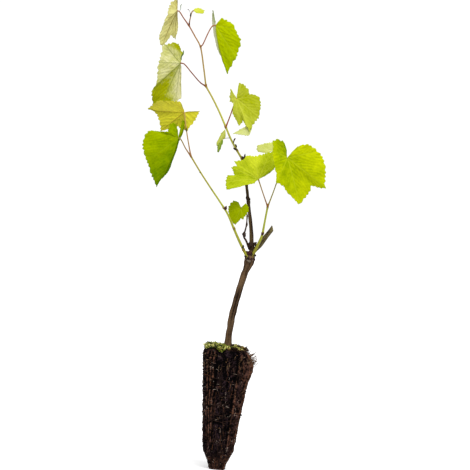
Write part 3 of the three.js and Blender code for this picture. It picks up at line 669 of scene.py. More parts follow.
def leafMaterial(name, leaf):
    # living leaf blade: a thin waxy upper skin with a soft sheen, a paler felted underside, and paler
    # veins. the flat map is 200 mm wide, so blotches are about 9 mm and the cells of the vein net about 3
    # mm, coarser than the real net, so that it shows
    material, tree, shader, (tint, veined, under) = newMaterial(
        "leafBlade_" + name, {"Specular IOR Level": 0.0}, ("tone", "vein", "under"))
    flat = addNode(tree, "UVMap", {"uv_map": "flat"})
    blotch = addNode(tree, "TexNoise", {"Scale": 22, "Detail": 5}, {"Vector": flat})
    spread = addNode(tree, "MapRange", {"To Min": -0.6, "To Max": 0.6}, {"Value": blotch})
    cells = addNode(tree, "TexVoronoi", {"feature": "DISTANCE_TO_EDGE", "Scale": 62}, {"Vector": flat})
    net = addNode(tree, "MapRange", {"From Max": 0.16, "To Min": 0.16, "To Max": 0.0}, {"Value": cells})
    # the tone attribute holds painted shade and painted highlights as well as the leaf's own yellow and green
    tone = addNode(tree, "Math", {"operation": "ADD"}, {0: tint, 1: spread})
    tone = addNode(tree, "Math", {"operation": "ADD", "use_clamp": True}, {0: tone, 1: net})
    upper, lower = [addNode(tree, "Mix", {"data_type": "RGBA", 6: linear(dark), 7: linear(light)}, {0: tone})
                    for dark, light in (leaf["upper"], leaf["under"])]
    face = addNode(tree, "Mix", {"data_type": "RGBA"}, {0: under, 6: upper.outputs[2], 7: lower.outputs[2]})
    hues = [linear(hue) for hue in leaf["veins"]]
    vein = addNode(tree, "Mix", {"data_type": "RGBA", 6: hues[0], 7: hues[1]}, {0: under})
    whole = addNode(tree, "Mix", {"data_type": "RGBA"}, {0: veined, 6: face.outputs[2], 7: vein.outputs[2]})
    gloss = addNode(tree, "MapRange", {"To Min": 0.42, "To Max": 0.75}, {"Value": under})
    bump = addNode(tree, "Bump", {"Strength": 0.35, "Distance": 0.3 * mm}, {"Height": cells})
    wire(tree, shader, {"Base Color": whole.outputs[2], "Roughness": gloss, "Normal": bump})
    return material


def growLeaf(name, leaf, seed):
    # the blade is its fan of directions times a share of the length, domed, puckered between the veins,
    # waved at the toothed margin, then given a thickness along its normals
    rng = np.random.default_rng(seed)
    centre = startOf(leaf)
    rays = np.array(leaf["rays"], float)
    routes[name] = centre + rays[:, 2:] * heading(180 - rays[:, 0], rays[:, 1])
    out, up, length, place = leafFan(leaf)
    turn = np.concatenate([[0], np.cumsum(np.arccos(np.clip((out[1:] * out[:-1]).sum(1), -1, 1)))])
    chords = np.hypot(np.diff(length * np.cos(turn)), np.diff(length * np.sin(turn)))
    rim = np.concatenate([[0], np.cumsum(chords)])
    ends = np.clip(np.minimum(rim, rim[-1] - rim) / 6, 0, 1)   # teeth and waves fade out at the notch

    count = max(3, round(rim[-1] / leaf["tooth"]))
    phase = rim / rim[-1] * count + 0.22 * np.sin(rim / leaf["tooth"] * 1.7 + seed)
    size = rng.uniform(0.55, 1.15, count + 3)[np.clip(np.floor(phase).astype(int) + 1, 0, count + 2)]
    point = (1 - np.abs(2 * (phase % 1.0) - 1)) ** 0.85
    toothed = length + ends * size * blade["toothDepth"] * leaf["tooth"] * (point - 0.5)

    rings = max(8, int(length.max() / blade["ringGap"]))
    s = (np.arange(1, rings + 1) / rings)[None, :]
    dome = length[:, None] * blade["arch"] * (s - s ** 2) / 2
    points = centre + out[:, None] * (toothed[:, None] * s)[..., None] + up[:, None] * dome[..., None]
    inner = np.concatenate([np.broadcast_to(centre, (len(out), 1, 3)), points], axis=1)
    normal = unit(np.cross(np.gradient(inner, axis=1)[:, 1:], np.gradient(points, axis=0)))
    heart = unit(normal[:, 0].mean(0))
    normal = unit(normal * s[..., None] + heart * (1 - s[..., None]))

    x, y = [toothed[:, None] * s * share[:, None] for share in (np.cos(turn), np.sin(turn))]
    order = np.arange(len(rays))
    angles, mains = np.interp(leaf["main"], place, turn), np.interp(leaf["main"], place, length)
    mainVein, sideVein, nearest = veinMasks(x, y, turn, angles, mains)
    big = min(1, length.max() / blade["full"])
    hollow = 1 - np.exp(-(nearest / blade["puckerReach"]) ** 2)
    pucker = blade["pucker"] * big * hollow * np.clip(1.25 - s, 0, 1) ** 0.5
    wave = leaf["wave"] * s ** 2 * softNoise(place[:, None] / 40 + 0 * s, s + 0 * place[:, None],
                                             40 * rim[-1] / (len(order) * 13), 2, seed + 1)
    acrossNoise, upNoise = x / 90 % 1, np.clip(y / 180 + 0.5, 0, 1)
    lumps = big * (blade["smallLumps"] * softNoise(acrossNoise, upNoise, 40, 80, seed + 2)
                   + blade["broadLumps"] * softNoise(acrossNoise, upNoise, 12, 24, seed + 3))
    points = points + normal * (pucker + wave * ends[:, None] + lumps)[..., None]

    half = blade["thickness"] / 2
    ridge = big * (blade["mainRidge"] * mainVein + blade["sideRidge"] * sideVein)
    upper = points + normal * (half - 0.25 * ridge)[..., None]
    under = points - normal * (half + 0.8 * ridge)[..., None]
    columns = len(out)
    each = columns * rings + 1
    vertices = np.concatenate([[centre + heart * half], upper.reshape(-1, 3),
                               [centre - heart * half], under.reshape(-1, 3)])

    def at(column, ring):
        # number of a vertex of the upper face; ring 0 is the heart, and the under face adds each
        return np.where(ring == 0, 0, 1 + column * rings + ring - 1)

    c, r = np.meshgrid(np.arange(columns - 1), np.arange(1, rings), indexing="ij")
    a, b, d, e = at(c, r), at(c, r + 1), at(c + 1, r + 1), at(c + 1, r)
    k, j = np.arange(columns - 1), np.arange(rings)
    margin = at(k, rings), at(k + 1, rings)
    first = at(0, j), at(0, j + 1)
    last = at(columns - 1, j + 1), at(columns - 1, j)
    faces = [np.stack([a, b, d, e], -1).reshape(-1, 4), np.stack([a, e, d, b], -1).reshape(-1, 4) + each]
    faces += [np.stack([p, p + each, q + each, q], -1) for p, q in (margin, first, last)]
    fan = np.stack([0 * k, at(k, 1), at(k + 1, 1)], -1)
    faces += [fan, fan[:, [0, 2, 1]] + each]

    share = s ** leaf.get("grade", 1.5)
    # tone: the leaf's own yellow and green together with painted shade on folds and painted highlights
    tone = (np.interp(place, order, leaf["heartTone"])[:, None] * (1 - share)
            + np.interp(place, order, leaf["rimTone"])[:, None] * share)
    vein = np.clip(0.75 * mainVein + 0.3 * sideVein, 0, 0.85)
    felted = np.interp(place, order, leaf.get("felted", 0 * order))[:, None] + 0 * s
    values = {"tone": np.concatenate([[leaf["heartTone"][0]], tone.ravel()] * 2),
              "vein": np.concatenate([[0.7], vein.ravel()] * 2),
              "under": np.concatenate([[0], felted.ravel(), np.ones(each)])}
    flat = np.concatenate([[[0.5, 0.5]], np.stack([x.ravel(), y.ravel()], -1) / 200 + 0.5] * 2)
    replaced = [] if leaf.get("lobe") else [name]
    putMesh(name + "_blade", vertices, faces, leafMaterial(name, leaf), "leaf", replaced, values, flat)


for index, (name, leaf) in enumerate(leaves.items()):
    growLeaf(name, leaf, 40 + index)
print("stage: leaves")

# a bud is a pointed lump on a limb: place in steps along it, offset of its foot in x, y and z, length,
# half-width, lean and back of its axis
buds = {
    "darkBuds": {
        "hues": ("231817", "44342a"), "slot": "bark",
        "lumps": [("trunk", 6, (-4, -3, -5), 4.5, 1.7, -87, -12),
            ("trunk", 6, (2.7, -3, -3), 4.6, 1.7, 86, -25), ("trunk", 7, (-2.7, -2.2, -.6), 7.2, 2, -6, -20),
            ("trunk", 7, (0, -2, .5), 6.4, 1.8, -8, -10), ("trunk", 7, (-1.4, -3, .7), 5.8, 1.9, -3, -35),
            ("trunk", 6.6, (-1, 2.4, -1), 5, 2.2, -24, 40), ("trunk", 7, (1.8, -1, 3.4), 5.6, 1.9, 47, -10),
            ("trunk", 7, (3, -1.5, 3), 3.8, 1.5, 56, -20), ("left_shoot", .8, (1, -.8, -2.2), 5, 1.4, 4, -8),
            ("side_twig", 2.4, (1.4, -.4, -3.7), 7, 1.9, -20, -6),
            ("side_twig", 2.4, (.3, -.4, -1.2), 3.5, 1.3, -57, -10),
            ("side_twig", 2.4, (.2, -.4, -.2), 3, .7, 62, -5),
            ("side_twig", 4, (0, -.3, -1), 5.6, 1.2, 3, -6), ("side_twig", 4.9, (.2, 0, .2), 3.8, .8, 0, -8),
            ("old_cane", 2.9, (-.8, -.6, 1.2), 5.4, 1.6, -23, -8),
            ("old_cane", 2.9, (.7, -.4, .2), 4.8, 1.4, 12, -6),
            ("old_cane", 3, (0, 1.2, .7), 5.2, 1.4, -6, 20),
            ("old_cane", 6, (1.9, -1, -.3), 6.4, 2.1, -37, -14),
            ("old_cane", 6, (1.6, -1, .7), 7.8, 1.2, 3, -12), ("old_cane", 6, (1, -1, -.6), 4, 1.8, 46, -12),
            ("old_cane", 6, (.9, 1.2, 0), 5.5, 1.9, -13, 40),
            ("long_shoot_lower", 1, (1, -.6, -.6), 5.5, 1.3, -72, -14),
            ("stalk_folded", 2, (0, -.6, -.9), 5.2, .9, -10, -6),
            ("stalk_sprout", 1.5, (0, -.2, 2.7), 4.8, .9, 4, -6),
            ("stalk_sprout", 2, (-2.8, 0, 8.5), 2.1, .5, -86, 0)]},
    "redBuds": {
        "hues": ("2c1216", "54302a"), "slot": "bark",
        "lumps": [("trunk", 6, (.2, -3.8, -1.6), 5.5, 2.1, -47, -12),
            ("trunk", 6, (-3.4, -3, -3.5), 6.5, 1.9, -22, -12),
            ("trunk", 6, (-.6, -2.6, -3), 5, 1.8, -13, -12), ("trunk", 6, (-.4, 3, -3.3), 6.2, 2.2, -6, 12),
            ("left_shoot", 3.5, (1.6, -.5, -2.5), 5.5, 1.6, 12, -8),
            ("right_shoot", 2.1, (.9, -.8, -1.9), 3.8, 1.6, -44, -12),
            ("right_shoot", 2.1, (.3, -.8, -.8), 2.7, 1, 18, -12),
            ("stalk_sprout", .3, (0, -.3, -1.8), 4, 1.1, 3, -6)]},
    "oliveBuds": {
        "hues": ("6f7226", "94963a"), "slot": "green_cane",
        "lumps": [("left_shoot", 2.1, (1.4, -.4, -2), 4.4, 1.1, -34, -8),
            ("left_shoot", 4.9, (.6, -.4, -1), 3, 1, -34, -8),
            ("left_shoot", 6, (0, -.4, -1), 3, .9, -30, -8)]},
    "ripeBuds": {
        "hues": ("8a5426", "b0803a"), "slot": "green_cane",
        "lumps": [("right_shoot", 4, (0, -.5, -1), 5, 1.3, -3, -8),
            ("right_shoot", 4, (-.3, -.4, -.4), 3.5, .9, 30, -20),
            ("long_shoot_lower", 3, (.4, -.5, -1.7), 4.6, 1.1, -31, -8),
            ("long_shoot_lower", 3, (-.2, -.4, -.8), 3.4, .9, 15, -8),
            ("long_shoot_lower", 6, (0, -.4, -1.5), 4.8, 1.1, 9, -8),
            ("long_shoot_lower", 6, (-.4, -.4, -1), 3.8, .9, -29, -10),
            ("left_shoot", 7, (.4, -.4, -1), 4.4, 1, -17, -8),
            ("long_shoot_upper", 2, (0, -.3, -.9), 3.5, .8, -4, -8),
            ("long_shoot_upper", 2, (-.2, -.3, -.2), 2.8, .7, 39, -8),
            ("long_shoot_upper", 4, (0, -.3, -.6), 2.8, .8, -14, -10)]},
}
# a twiglet is a thin bent stem that leaves a limb: place along it, start beside its middle line, steps,
# radii
twiglets = {
    "deadTwiglets": {
        "hues": ("3a2a1c", "6a5636"), "slot": "bark",
        "stems": [("long_shoot_lower", 1.2, (2, -1, 0), [(2.4, -24, 0), (2, -40, 0)], (.4, .8, .9, .5)),
            ("long_shoot_lower", 1.62, (.8, -1, 0), [(3.4, 6, -10), (3.2, 22, -5)], (.45, .7, 1, .5)),
            ("stalk_sprout", 2, (-.2, 0, 1.8), [(3.6, -16, 0), (3.6, -32, 0)], (.25, .2, .2, .25))]},
    "curledBits": {
        "hues": ("56703c", "7f9652"), "slot": "leaf",
        "stems": [("stalk_upper_left", 4, (.6, -.5, 4.2),
            [(3.6, -2, 0), (4, 22, -8), (4, 4, 4)], (.5, .75, 1, .5)),
            ("stalk_top", 2, (.4, 0, 1.2), [(3, 18, 0), (3.4, -6, 0), (2, 30, 0)], (.25, .35, .5, .3))]},
    "tendrils": {
        "hues": ("6e5a48", "9ea44c"), "slot": "green_cane",
        "stems": [("long_shoot_lower", 2.1, (-.4, -1, 0),
            [(3.2, -98, -10), (2.6, -106, 0), (2, -116, 10)], (.42, .36, .3, .24))]},
    "paleHairs": {
        "hues": ("d9bcb0", "e6cfc4"), "slot": "green_cane",
        "stems": [("long_shoot_lower", .95, (-1, -1, 0),
            [(3.4, -52, -8), (3, -44, -4), (2.6, -50, 0)], (.22, .18, .16, .12))]},
}
budForm = {"rings": 9, "sides": 10, "uneven": 0.25}
gnarlSpread = {"seed": 77, "count": 34, "radius": (0.8, 1.6), "from": 4.9, "steps": 1.1, "foot": 5.2,
               "taper": 3}
# grain is in noise cells a metre, and its detail: dry scales about 1.4 mm, damp peat and roots about 4 mm;
# bump is in millimetres
dryScales = {"grain": (700, 4), "settings": {"Roughness": 0.7, "Specular IOR Level": 0.15}, "bump": 0.2}
dampPeat = {"grain": (260, 3), "settings": {"Roughness": 0.85, "Specular IOR Level": 0.08}, "bump": 0}


def limbSpot(name, place):
    # point of a limb's smooth middle line
    return smoothPath(routes[name], np.array([place], float))[0]


def mottledMaterial(name, hues, look):
    # small matt stuff, dry scales or damp roots and peat: its colour drifts between two hues, grain by grain
    material, tree, shader, outputs = newMaterial(name, look["settings"])
    spot = addNode(tree, "TexCoord")
    cells, detail = look["grain"]
    mottle = addNode(tree, "TexNoise", {"Scale": cells, "Detail": detail}, {"Vector": spot.outputs["Object"]})
    spread = addNode(tree, "MapRange", {"From Min": 0.35, "From Max": 0.65}, {"Value": mottle})
    hue = addNode(tree, "Mix", {"data_type": "RGBA", 6: linear(hues[0]), 7: linear(hues[1])}, {0: spread})
    wire(tree, shader, {"Base Color": hue.outputs[2]})
    if look["bump"]:
        bump = addNode(tree, "Bump", {"Strength": 0.4, "Distance": look["bump"] * mm}, {"Height": mottle})
        wire(tree, shader, {"Normal": bump})
    return material


def joined(parts):
    # vertices and faces of several closed pieces, renumbered into one
    vertices, faces, first = [], [], 0
    for points, lists in parts:
        vertices.append(points)
        faces += [face + first for face in lists]
        first += len(points)
    return np.concatenate(vertices), faces


def budLump(start, axis, length, half, seed):
    # blunt teardrop: radius is the half-width times a power of a half wave that is fullest near the foot
    side = unit(np.cross(axis, [0.3, 0.9, 0.2]))
    other = np.cross(axis, side)
    share = np.linspace(0.04, 0.97, budForm["rings"])
    sides = np.arange(budForm["sides"])
    angle = 2 * np.pi * sides / len(sides)
    u, s = np.broadcast_arrays(sides[None] / len(sides), share[:, None])
    uneven = 1 + budForm["uneven"] * softNoise(u, s, 4, 4, seed)
    radius = half * np.sin(np.pi * s ** 0.75) ** 0.6 * (1.1 - 0.25 * s) * uneven
    out = side * np.cos(angle)[None, :, None] + other * np.sin(angle)[None, :, None]
    points = start + axis * (length * s)[..., None] + out * radius[..., None]
    return closeRings(points, 0.1, 0.2)


# the gnarled head of the trunk: small knobs all round it, most of them dark
rng = np.random.default_rng(gnarlSpread["seed"])
count = gnarlSpread["count"]
gnarls = []
draws = rng.random(count), rng.uniform(0, 2 * np.pi, count), rng.uniform(*gnarlSpread["radius"], count)
for t, a, r in zip(*draws):
    place = gnarlSpread["from"] + gnarlSpread["steps"] * t
    away = gnarlSpread["foot"] - gnarlSpread["taper"] * t
    gnarls.append(("trunk", place, (away * np.cos(a), away * np.sin(a), 0), r * 2.2, r,
                   75 * np.cos(a), 70 * np.sin(a)))
buds["darkBuds"]["lumps"] += gnarls[:16]
buds["redBuds"]["lumps"] += gnarls[16:24]
# the last knobs' pale grey is a painted highlight on the gnarled head
buds["greyKnobs"] = {"hues": ("6a5c4c", "aa9e8c"), "slot": "bark", "lumps": gnarls[24:]}

seed = 700
for name, group in buds.items():
    parts = []
    for host, place, offset, length, half, lean, back in group["lumps"]:
        start = limbSpot(host, place) + np.array(offset)
        parts.append(budLump(start, heading(lean, back), length, half, seed))
        seed += 1
    material = mottledMaterial("budScale_" + name, group["hues"], dryScales)
    putMesh(name, *joined(parts), material, group["slot"])

for name, group in twiglets.items():
    parts = []
    for host, place, offset, steps, radii in group["stems"]:
        stem = {"at": limbSpot(host, place) + np.array(offset), "steps": steps}
        rings = limbRings(routeOf(stem), radii, 8, 0.5, lambda u, share: 0.04 * np.sin(9 * share + 6 * u))[0]
        parts.append(closeRings(rings, 0.1, 0.2))
    material = mottledMaterial("twigSkin_" + name, group["hues"], dryScales)
    putMesh(name, *joined(parts), material, group["slot"])
print("stage: buds and twiglets")

# the root plug has the shape of its tapered, ribbed tray cell: profile is (height, half-width),
# grooves are (place across each face from -1 to 1, depth, half-width of the groove as a share of the face).
# crumbs are (height, cells round the plug, cells up it), heaps on its top are (height, cells across)
plug = {"profile": [(0, 9.6), (4, 10), (11, 12), (18, 15.8), (25, 18.6), (34, 19.8), (62, 22.6), (90, 25.4),
                    (118, 28.2), (134, 29.9), (140, 30.5), (144, 29.6), (146, 27)],
        "squareness": 5, "around": 300, "rings": 215, "topRings": 44, "grooveRise": (16, 40),
        "grooves": [(-.82, 1.7, .035), (-.66, 1.6, .03), (-.49, 1.9, .06), (-.2, .6, .07), (.12, .4, .05),
                    (.41, 2.4, .055), (.74, .9, .04)],
        "ridges": (-.92, -.74, -.59, .52), "ridgeWidth": .045, "grooveWander": .03,
        "crumbs": [(.6, 46, 32), (.55, 110, 76), (.75, 220, 150)], "wear": 0.5, "leftShift": 0.8,
        "mound": 2.0, "heaps": [(1.1, 9), (.9, 34), (.4, 80)], "sink": 0.8, "noiseSpan": 90}
# the right flank is fuller below the rim, as a bell curve, and worn away at the rim
shoulder = {"fuller": 3.3, "at": 124, "reach": 14, "worn": 7, "from": 129, "over": 17}
fineRoots = {
    "darkRoots": {
        "count": 300, "hues": ("140c0a", "3a2720"), "radius": (.25, .5), "long": (10, 44), "span": (6, 140),
        "seed": 11},
    "rustyRoots": {
        "count": 120, "hues": ("4a2a1c", "7a5138"), "radius": (.18, .36), "long": (4, 20), "span": (6, 140),
        "seed": 12},
    "paleRoots": {
        "count": 240, "hues": ("7f685c", "b8a898"), "radius": (.16, .32), "long": (1.4, 5), "span": (6, 140),
        "seed": 13},
    "rimRoots": {
        "count": 90, "hues": ("4a3220", "94785a"), "radius": (.16, .34), "long": (3, 9), "span": (122, 142),
        "seed": 15},
}
rootHairs = {"count": 150, "hues": ("2c1c16", "8c6c50"), "radius": .22, "seed": 14, "onRight": .4}
specks = {
    "soilCrumbs": {"count": 700, "hues": ("0a0507", "33221f"), "size": (.7, 2.2), "seed": 21},
    "perliteBits": {"count": 80, "hues": ("8f877c", "cfc6b4"), "size": (.4, 1), "seed": 22},
    "barkChips": {"count": 260, "hues": ("4a2f20", "80603e"), "size": (.5, 1.2), "seed": 23},
}
# heart is where each colour of moss is thickest, from left to right, and band the cushion height that it
# likes
moss = {
    # mossBright's pale cream is partly the moss's own pale tips and partly a painted highlight
    "mossBright": {"count": 210, "hue": "ebe98e", "long": (2.6, 5), "heart": -11, "band": .4, "seed": 31},
    "mossMiddle": {"count": 230, "hue": "8a9230", "long": (2.6, 5.4), "heart": -10, "band": .15, "seed": 32},
    # mossDeep's near black green is painted shade, the dark gaps in the moss set down as tufts
    "mossDeep": {"count": 330, "hue": "1a2408", "long": (2.4, 5), "heart": -14, "band": -.1, "seed": 33},
    "mossStraw": {"count": 100, "hue": "a88c48", "long": (2.4, 4.4), "heart": 7, "band": .25, "seed": 34},
    "mossBrown": {"count": 360, "hue": "2a1810", "long": (2.2, 4.4), "heart": 13, "band": -.1, "seed": 35},
}
mossBed = {"rim": 29.4, "rightEnd": 21.5, "leaves": 5, "wide": .2, "thin": .06}
heights, halves = np.array(plug["profile"], float).T


def squareRadius(x, y):
    # distance from the axis as a rounded square counts it: the cell's wall is where it is the half-width
    return (np.abs(x) ** plug["squareness"] + np.abs(y) ** plug["squareness"]) ** (1 / plug["squareness"])


def plugSurface(u, z):
    # radius is the half-width at the height, squared off as the tray cell is, less the grooves of each face
    # and plus crumbs; returns the points, how deep in a groove each lies, its crumb's height, and how near
    # a ridge it is
    angle = 2 * np.pi * u
    across = np.tan(((angle / (np.pi / 2) + 0.5) % 1 - 0.5) * np.pi / 2)
    across = across + plug["grooveWander"] * softNoise(u, z / plugTop, 8, 9, 900)
    low, high = plug["grooveRise"]
    rise = np.clip((z - low) / (high - low), 0, 1) * np.clip((plugTop - z) / 8, 0, 1) ** 0.5
    groove = sum(depth * np.exp(-((across - place) / width) ** 2) for place, depth, width in plug["grooves"])
    groove = groove * rise * (0.8 + 0.35 * softNoise(u, z / plugTop, 12, 10, 901))
    ridge = sum(np.exp(-((across - place) / plug["ridgeWidth"]) ** 2) for place in plug["ridges"]) * rise
    crumbs = sum(high * softNoise(u, z / plugTop, cellsRound, cellsUp, 902 + i)
                 for i, (high, cellsRound, cellsUp) in enumerate(plug["crumbs"]))
    swell = (shoulder["fuller"] * np.exp(-((z - shoulder["at"]) / shoulder["reach"]) ** 2)
             - shoulder["worn"] * np.clip((z - shoulder["from"]) / shoulder["over"], 0, 1) ** 1.3)
    radius = np.interp(z, heights, halves) / squareRadius(np.cos(angle), np.sin(angle)) - groove
    radius = (radius + crumbs * np.clip(z / 3, 0.2, 1) - plug["wear"]
              + swell * np.clip((np.cos(angle) - 0.5) / 0.25, 0, 1)
              - plug["leftShift"] * np.cos(angle) * np.clip(z / 16, 0, 1))
    points = np.stack([radius * np.cos(angle), radius * np.sin(angle), z + 0 * u], axis=-1)
    return points, groove, crumbs, ridge


def soilMaterial():
    # peat held by roots: dark, damp, crumbly and quite matt, browner where roots mat together on the ribs,
    # which are also lighter as a painted highlight; lift lightens raised crumbs and darkens the grooves,
    # painted light and shade; its fibres are about 1 mm thick and three times as long, drawn coarser than the
    # real ones
    material, tree, shader, (lift, mattedAndRibHighlight) = newMaterial(
        "rootBoundPeat", {"Roughness": 0.95, "Specular IOR Level": 0.04}, ("lift", "mattedAndRibHighlight"))
    spot = addNode(tree, "TexCoord")
    stretch = addNode(tree, "Mapping", {"Scale": (1, 1, 0.35)}, {"Vector": spot.outputs["Object"]})
    fibre = addNode(tree, "TexNoise", {"Scale": 900, "Detail": 5, "Roughness": 0.65}, {"Vector": stretch})
    total = addNode(tree, "Math", {"operation": "MULTIPLY_ADD", 1: 0.9}, {0: fibre, 2: lift})
    tone = addNode(tree, "MapRange", {"From Min": 0.42, "From Max": 1.0}, {"Value": total})
    peat, roots = [addNode(tree, "Mix", {"data_type": "RGBA", 6: linear(dark), 7: linear(light)}, {0: tone})
                   for dark, light in (("050304", "3c2c32"), ("0c0605", "7c5440"))]
    skin = addNode(tree, "Mix", {"data_type": "RGBA"}, {0: mattedAndRibHighlight, 6: peat.outputs[2], 7: roots.outputs[2]})
    bump = addNode(tree, "Bump", {"Strength": 0.7, "Distance": 0.6 * mm}, {"Height": fibre})
    wire(tree, shader, {"Base Color": skin.outputs[2], "Normal": bump})
    return material


def topNoise(x, y, cells, seed):
    # soft noise over the plug's top
    u, v = x / plug["noiseSpan"] + 0.5, y / plug["noiseSpan"] + 0.5
    return softNoise(u, v, cells, cells, seed)


def mossAmount(x, y):
    # how thick the moss is on the top: densest on the left, thinner to the right, in cushions
    return 0.5 - x / 60 + 0.8 * (topNoise(x, y, 8, 930) + 0.6 * topNoise(x, y, 17, 931))


def topHeight(x, y):
    # the peat's top is a low dome that dips and heaps a little, and swells under the moss
    dome = plug["mound"] * (np.clip(1 - (np.hypot(x, y) / 40) ** 2, 0, 1) + np.clip(mossAmount(x, y), 0, 1.2))
    heaps = sum(high * topNoise(x, y, cells, 910 + i) for i, (high, cells) in enumerate(plug["heaps"]))
    return plugTop + dome + heaps - plug["sink"]


def buildPlug():
    # the wall's rings, then the same outline drawn in to the middle at the height of the top
    u, z = np.meshgrid(np.arange(plug["around"]) / plug["around"], np.linspace(0, plugTop, plug["rings"]))
    wall, groove, crumbs, ridge = plugSurface(u, z)
    share = np.linspace(0.97, 0.03, plug["topRings"])[:, None, None]
    flat = wall[-1:, :, :2] * share
    blend = np.clip((1 - share[..., 0]) / 0.12, 0, 1)
    level = topHeight(flat[..., 0], flat[..., 1]) * blend + plugTop * (1 - blend)
    cap = np.concatenate([flat, level[..., None]], axis=-1)
    points, faces = closeRings(np.concatenate([wall, cap]), 0, 0)
    points[-2:] = [(0, 0, 0), (0, 0, topHeight(np.zeros(1), np.zeros(1))[0])]
    right = np.clip((wall[..., 0] / np.interp(z, heights, halves) - 0.45) / 0.3, 0, 1)
    patch = softNoise(u, z / plugTop, 9, 7, 920) + 0.5 * softNoise(u, z / plugTop, 26, 18, 921)
    foot = z < plug["grooveRise"][0]
    # along the ribs (ridge) the brown is partly matted roots and partly a painted highlight
    mattedAndRibHighlight = np.clip(0.4 * right + 0.2 * patch * np.clip(1 - groove, 0, 1) + 0.6 * foot + ridge, 0, 1)
    # painted light and shade: lighter on raised crumbs and ribs, darker down the grooves
    lift = np.clip(0.45 * crumbs - 0.25 * groove + 0.22 * ridge + 0.08 * right + 0.1 * foot, -0.8, 0.9)
    capTone = np.full(cap.shape[:2], 0.15).ravel()
    values = {"lift": np.concatenate([lift.ravel(), capTone, [0, 0.1]]),
              "mattedAndRibHighlight": np.concatenate([mattedAndRibHighlight.ravel(), capTone + 0.2, [0.3, 0.3]])}
    putMesh("rootPlug_peat", points, faces, soilMaterial(), "root_plug", ["root_ball"], values)


def tubes(paths, radii, sides=4):
    # many thin stems at once: paths is stems x points x 3; each ring is a small circle across its path
    stems, count = paths.shape[:2]
    along = unit(np.gradient(paths, axis=1))
    side = unit(np.cross(along, [0.31, 0.27, 0.91]))
    other = np.cross(along, side)
    angle = 2 * np.pi * np.arange(sides) / sides
    taper = np.clip(np.sin(np.pi * np.linspace(0.06, 0.94, count)) * 2.2, 0.25, 1)
    wide = (radii[:, None] * taper[None])[..., None, None]
    out = side[:, :, None] * np.cos(angle)[:, None] + other[:, :, None] * np.sin(angle)[:, None]
    rings = paths[:, :, None] + wide * out
    ends = paths[:, [0, -1]] + along[:, [0, -1]] * radii[:, None, None] * np.array([-1, 1])[None, :, None]
    vertices = np.concatenate([rings.reshape(stems, -1, 3), ends], axis=1).reshape(-1, 3)
    first = (np.arange(stems) * (count * sides + 2))[:, None, None]
    return vertices, [(first + face).reshape(-1, face.shape[1]) for face in ringFaces(count, sides)]


def layRoots(name, roots):
    # roots run mostly down the plug's wall and wander sideways; one in six runs round it
    rng = np.random.default_rng(roots["seed"])
    count, points = roots["count"], 10
    t = np.linspace(0, 1, points)[None]
    long = rng.uniform(*roots["long"], count)[:, None]
    turned = rng.random(count)[:, None] < 0.17
    z = rng.uniform(*roots["span"], count)[:, None] - long * t * np.where(turned, 0.15, 0.9)
    start = rng.random(count)[:, None]
    sway = np.cumsum(rng.normal(0, 1, (count, points)), axis=1) * 0.0035 * np.sqrt(long / 20)
    u = start + sway + np.where(turned, long * t / 190, 0) * rng.choice([-1, 1], (count, 1))
    radii = rng.uniform(*roots["radius"], count)
    wall = plugSurface(u % 1, np.clip(z, 2.5, plugTop - 2))[0]
    sunk = radii[:, None] * rng.uniform(-0.2, 1.1, (count, points))
    wall[..., :2] += unit(wall[..., :2]) * sunk[..., None]
    material = mottledMaterial("rootSkin_" + name, roots["hues"], dampPeat)
    putMesh(name, *tubes(wall, radii), material, "root_plug")


def hangHairs(name, hairs):
    # hair roots arch out of the rim and fall back: mostly on the right, a few all round
    rng = np.random.default_rng(hairs["seed"])
    count = hairs["count"]
    t = np.linspace(0, 1, 10)[None]
    right = rng.random(count) < hairs["onRight"]
    u = np.where(right, rng.normal(0.97, 0.08, count), rng.random(count))[:, None]
    z = plugTop - np.where(right, rng.uniform(0, 15, count), rng.uniform(1, 125, count))[:, None]
    reach = np.where(right, rng.uniform(2, 8, count), rng.uniform(0.8, 2.4, count))[:, None]
    fall = rng.uniform(-3, 6, count)[:, None]
    swing = rng.normal(0, 0.018, count)[:, None]
    path = plugSurface((u + swing * t) % 1, np.clip(z - fall * t, 3, plugTop - 1))[0]
    path[..., :2] += unit(path[..., :2]) * (reach * np.sin(np.pi * t ** 0.8) - 0.3)[..., None]
    path[..., 2] += reach * 0.6 * np.sin(np.pi * t) * rng.normal(0.5, 0.7, (count, 1))
    radii = np.full(count, hairs["radius"])
    putMesh(name, *tubes(path, radii), mottledMaterial("hairRootSkin", hairs["hues"], dampPeat), "root_plug")


def scatterSpecks(name, kind):
    # small uneven lumps pressed into the wall and strewn on the top: turned boxes with their corners shaken
    rng = np.random.default_rng(kind["seed"])
    count = kind["count"]
    centre = plugSurface(rng.random(count), rng.uniform(1.5, plugTop - 1, count))[0]
    onTop = rng.random(count) < 0.22
    around = rng.uniform(0, 2 * np.pi, count)
    spread = np.sqrt(rng.random(count))[:, None] * 25 * np.stack([np.cos(around), np.sin(around)], axis=1)
    level = topHeight(spread[:, 0], spread[:, 1])
    centre = np.where(onTop[:, None], np.concatenate([spread, level[:, None]], axis=1), centre)
    corners = np.array([(x, y, z) for z in (-1, 1) for y in (-1, 1) for x in (-1, 1)], float)
    size = rng.uniform(*kind["size"], (count, 1, 1)) / 2 * rng.uniform(0.6, 1.2, (count, 1, 3))
    turn = np.linalg.qr(rng.normal(size=(count, 3, 3)))[0]
    turn = turn * np.sign(np.linalg.det(turn))[:, None, None]
    shaken = corners[None] * size * rng.uniform(0.55, 1.1, (count, 8, 1))
    vertices = shaken @ turn + centre[:, None]
    box = np.array([(0, 2, 3, 1), (4, 5, 7, 6), (0, 1, 5, 4), (2, 6, 7, 3), (0, 4, 6, 2), (1, 3, 7, 5)])
    faces = (np.arange(count) * 8)[:, None, None] + box
    putMesh(name, vertices, [faces.reshape(-1, 4)], mottledMaterial("grain_" + name, kind["hues"], dampPeat),
            "root_plug")


